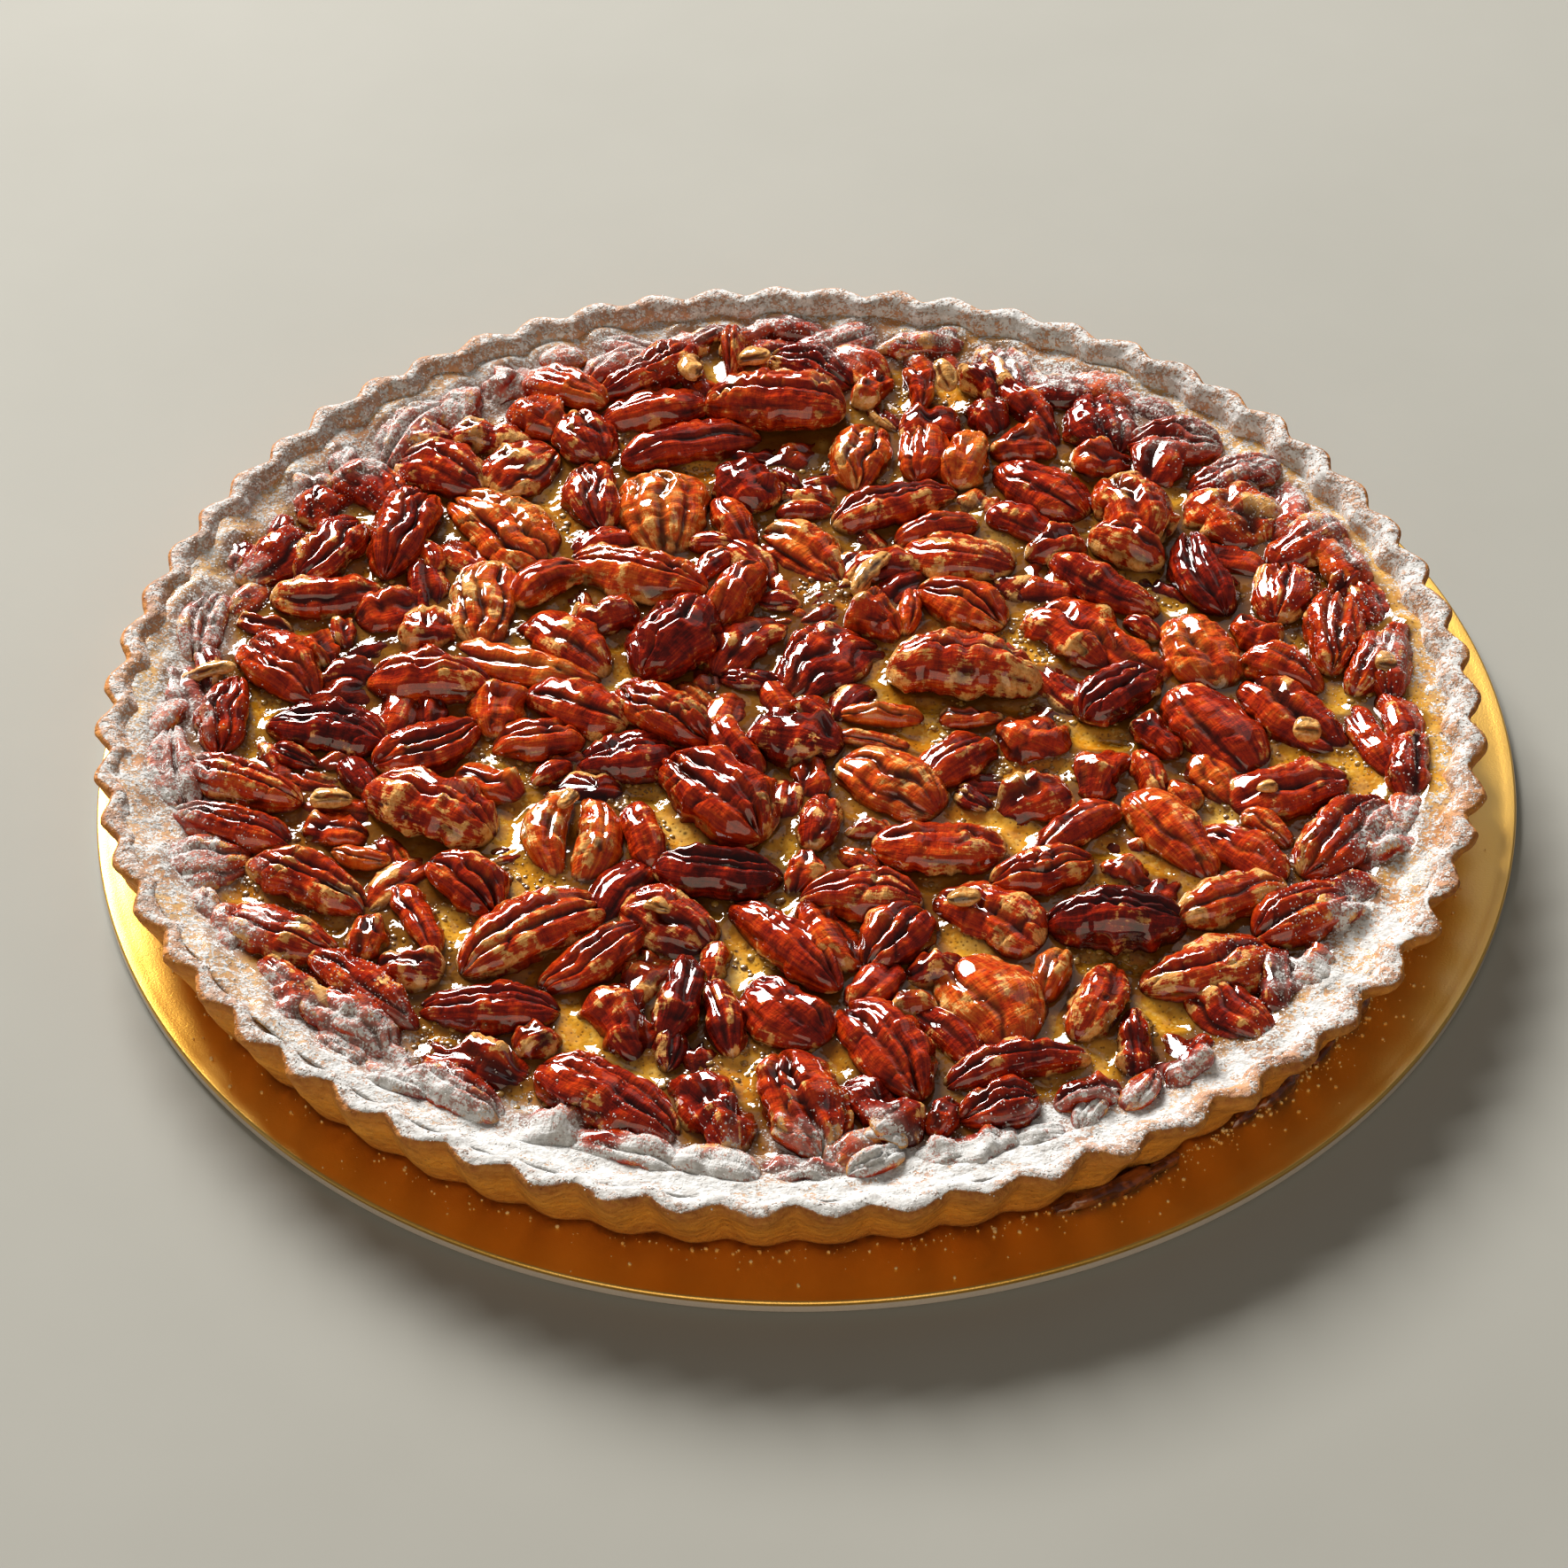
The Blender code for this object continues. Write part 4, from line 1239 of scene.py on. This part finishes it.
def makeGrains(crustPiece, caramelPiece):
    points, faces, density = [], [], []
    count = 0
    for nut, nutFace in laidNuts:
        amount = grainDensity(nut)
        if amount.max() < 0.02:
            continue
        middle = nut[:, 2].min() + 0.55 * np.ptp(nut[:, 2])
        density.append(amount * smooth(middle, middle + 1 * mm, nut[:, 2]))
        points.append(nut)
        faces += shifted(nutFace, count)
        count += len(nut)
    for piece in (crustPiece, caramelPiece):
        spots = readMesh(piece.data.vertices, "co", 3)
        ways = readMesh(piece.data.vertices, "normal", 3)
        density.append(grainDensity(spots) * smooth(0.35, 0.75, ways[:, 2]))
        points.append(spots)
        faces += shifted((polygon.vertices for polygon in piece.data.polygons), count)
        count += len(spots)
    ground = bed("grainBed", np.concatenate(points), faces, np.concatenate(density))
    shape = roundShape("grain", 2, 4, 0.2, 3)
    finish = plainFinish("sugarGrain", (0.70, 0.70, 0.69), (0.82, 0.82, 0.81), 900, 0.9)
    scatter("sugarGrains", ground, shape, finish, grains, 1.0)


bubbles = {
    "perArea": 480000,
    "smallest": 0.22 * mm,
    "largest": 1.0 * mm,
    "seed": 14,
}


def makeBubbles(caramelPiece):
    # they gather in patches in the wider gaps
    spots = readMesh(caramelPiece.data.vertices, "co", 3)
    gap = readMesh(caramelPiece.data.color_attributes["depth"].data, "color", 4)[:, 0]
    x, y, radius = fromMiddle(spots)
    density = smooth(-0.1, 0.6, flatNoise(x, y, 9 * mm, 41)) * smooth(0.98, 0.55, gap)
    density = density * smooth(0.126, 0.118, radius) * (spots[:, 2] > level - 1.5 * mm)
    faces = [tuple(polygon.vertices) for polygon in caramelPiece.data.polygons]
    ground = bed("bubbleBed", spots, faces, density)
    shape = roundShape("bubble", 5, 8, 0.0, 3, 0.42)
    finish = plainFinish("bubbleSkin", (0.15, 0.060, 0.006), (0.38, 0.20, 0.022), 300, 0.35, 1.0)
    scatter("caramelBubbles", ground, shape, finish, bubbles, 0.0)


crumbs = {
    "perArea": 3000000,
    "smallest": 0.10 * mm,
    "largest": 0.50 * mm,
    "inner": 136.5 * mm,
    "outer": 148 * mm,
    "rightSide": 326,       # degrees, where most of them lie
    "frontSide": 270,
    "seed": 23,
}


def makeCrumbs():
    # on the card, closest to the crust, and most at the right and the front
    rows, columns = 12, 240
    points = []
    density = []
    for row in range(rows):
        for column in range(columns):
            angle = 2 * pi * column / columns
            onCard = cardHigh[0] - 1.5 * mm - tartX * math.cos(angle) - tartY * math.sin(angle)
            outer = min(crumbs["outer"], onCard)       # none past the card's edge
            out = crumbs["inner"] + (outer - crumbs["inner"]) * row / (rows - 1)
            points.append((tartX + out * math.cos(angle), tartY + out * math.sin(angle),
                           cardHigh[2] + 0.1 * mm))
            near = math.exp(-row / 1.5)
            right = math.exp(-((angle - math.radians(crumbs["rightSide"])) / 0.5) ** 2)
            front = math.exp(-((angle - math.radians(crumbs["frontSide"])) / 0.9) ** 2)
            density.append(near * (0.05 + 0.95 * right + 0.10 * front) + 0.012 * right + 0.004)
    ground = bed("crumbBed", points, gridFaces(rows, columns), density)
    ground.data.flip_normals()
    shape = roundShape("crumb", 3, 6, 0.28, 4, 0.8)
    finish = plainFinish("crumbFinish", (0.70, 0.36, 0.08), (0.82, 0.58, 0.25), 500, 0.85)
    scatter("pastryCrumbs", ground, shape, finish, crumbs, 1.0)


# where caramel ran out under the crust: angle, half its span (degrees), mm out, mm high
leaks = (
    (-63.5, 5.0, 3.6, 3.2), (-58.6, 1.5, 2.4, 2.6), (-49.8, 1.6, 2.2, 2.4), (-46.2, 2.4, 3.4, 4.6),
    (-40.0, 1.6, 2.2, 2.2), (-35.0, 2.2, 2.6, 3.8), (-28.5, 1.8, 2.0, 3.0), (-22.0, 1.4, 1.8, 2.4),
)


def makeLeaks():
    rows, columns = 18, 40
    crustFoot = 136.2 * mm
    points = []
    faces = []
    for number, (angle, span, outward, high) in enumerate(leaks):
        start = len(points)
        size = np.array((2.4 * span, outward, high))
        for row in range(1, rows):
            for column in range(columns):
                down = pi * row / rows
                way = 2 * pi * column / columns
                spot = np.array((math.sin(down) * math.cos(way), math.sin(down) * math.sin(way),
                                 -math.cos(down)))
                spot = spot * (1 + 0.30 * float(layeredNoise(spot * size / 2.2 + number * 5.3, 61, 2)))
                turn = math.radians(angle + span * spot[0])
                out = crustFoot + outward * mm * (0.9 + spot[1]) * 0.52
                z = cardHigh[2] - 0.2 * mm + max(high * mm * (0.35 + 0.65 * spot[2]), 0) * 0.9
                points.append((tartX + out * math.cos(turn), tartY + out * math.sin(turn), z))
        ring = np.array(points[start:])
        points += [tuple(ring[:columns].mean(axis=0)), tuple(ring[-columns:].mean(axis=0))]
        faces += closedGrid(rows - 1, columns, len(points), start)
    piece = meshObject("caramelLeaks", points, [face[::-1] for face in faces])
    finish = plainFinish("leakFinish", (0.075, 0.012, 0.003), (0.26, 0.06, 0.008), 300, 0.4, 1.0)
    piece.data.materials.append(finish)
    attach(piece, "root")


view = {
    "lens": 105.76,
    "distance": 0.978,
    "elevation": 43.37,
    "roll": -1.18,
    "aim": (-0.0046, -0.0040),
}


def makeCamera():
    lift = math.radians(view["elevation"])
    turn = math.radians(view["roll"])
    aim = Vector((view["aim"][0], view["aim"][1], 0))
    spot = aim + Vector((0, -math.cos(lift), math.sin(lift))) * view["distance"]
    forward = (aim - spot).normalized()
    right = Vector((1, 0, 0))
    up = right.cross(forward)
    right, up = right * math.cos(turn) + up * math.sin(turn), up * math.cos(turn) - right * math.sin(turn)
    data = bpy.data.cameras.new("camera")
    data.lens = view["lens"]
    data.sensor_width = 36
    data.clip_start = 0.05
    data.clip_end = 20
    camera = bpy.data.objects.new("camera", data)
    rows = [(right[i], up[i], -forward[i], spot[i]) for i in range(3)]
    camera.matrix_world = Matrix(rows + [(0, 0, 0, 1)])
    bpy.context.scene.collection.objects.link(camera)
    bpy.context.scene.camera = camera


lights = {
    # name: azimuth it comes from, elevation, distance, size x, size y, power, colour
    "windowLight": (111, 29, 3.40, 1.60, 1.05, 300, (1.0, 0.965, 0.92)),
    "ceilingFill": (64, 47, 2.60, 1.5, 1.1, 2.6, (1.0, 0.97, 0.93)),
    "frontFill": (-97, 26, 3.00, 3.2, 2.0, 33, (1.0, 0.84, 0.63)),
}


def makeLights():
    for name, (azimuth, elevation, distance, sizeX, sizeY, power, colour) in lights.items():
        data = bpy.data.lights.new(name, "AREA")
        data.shape = "RECTANGLE"
        data.size = sizeX
        data.size_y = sizeY
        data.energy = power
        data.color = colour
        lamp = bpy.data.objects.new(name, data)
        a, e = math.radians(azimuth), math.radians(elevation)
        way = Vector((math.cos(a) * math.cos(e), math.sin(a) * math.cos(e), math.sin(e)))
        lamp.location = way * distance
        lamp.rotation_euler = way.to_track_quat("Z", "Y").to_euler()
        bpy.context.scene.collection.objects.link(lamp)
    world = bpy.data.worlds.new("softRoom")
    world.use_nodes = True
    back = world.node_tree.nodes["Background"]
    back.inputs["Color"].default_value = (0.93, 0.92, 0.90, 1)
    back.inputs["Strength"].default_value = 0.12
    bpy.context.scene.world = world
    bpy.context.scene.view_settings.view_transform = "Standard"


def makeFloor():
    piece = meshObject("floor", [(-4, -4, 0), (4, -4, 0), (4, 4, 0), (-4, 4, 0)], [(0, 1, 2, 3)], False)
    nodes = Finish("paleFloor")
    cloud = nodes.noise(9, 4, 0.6)
    nodes.set(Base_Color=nodes.mix(cloud, (0.28, 0.28, 0.25), (0.33, 0.33, 0.30)), Roughness=0.8)
    piece.data.materials.append(nodes.material)
    piece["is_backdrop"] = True


makeCamera()
makeLights()
makeFloor()
print("camera, lights and floor are in place")

cardPiece = makeCard()
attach(cardPiece, "root")
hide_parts("cake_card")
print("gold card done")

crustPiece = makeCrust()
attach(crustPiece, "root")
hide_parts("crust")
print("crust done")

nutFinish = pecanSkin()
makeNuts(nutFinish)
makeFurtherNuts(nutFinish)
makeSunkenNuts(nutFinish)
makeNibs(nutFinish)
print("nuts done:", len(laidNuts))

caramelPiece = makeCaramel()
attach(caramelPiece, "root")
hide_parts("filling")
print("caramel done")

makeGrains(crustPiece, caramelPiece)
makeBubbles(caramelPiece)
makeCrumbs()
makeLeaks()
print("grains, bubbles, crumbs and leaks done")

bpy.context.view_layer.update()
meshes = [piece.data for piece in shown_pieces() if piece.type == "MESH"]
print("triangles:", sum(len(polygon.vertices) - 2 for mesh in meshes for polygon in mesh.polygons))
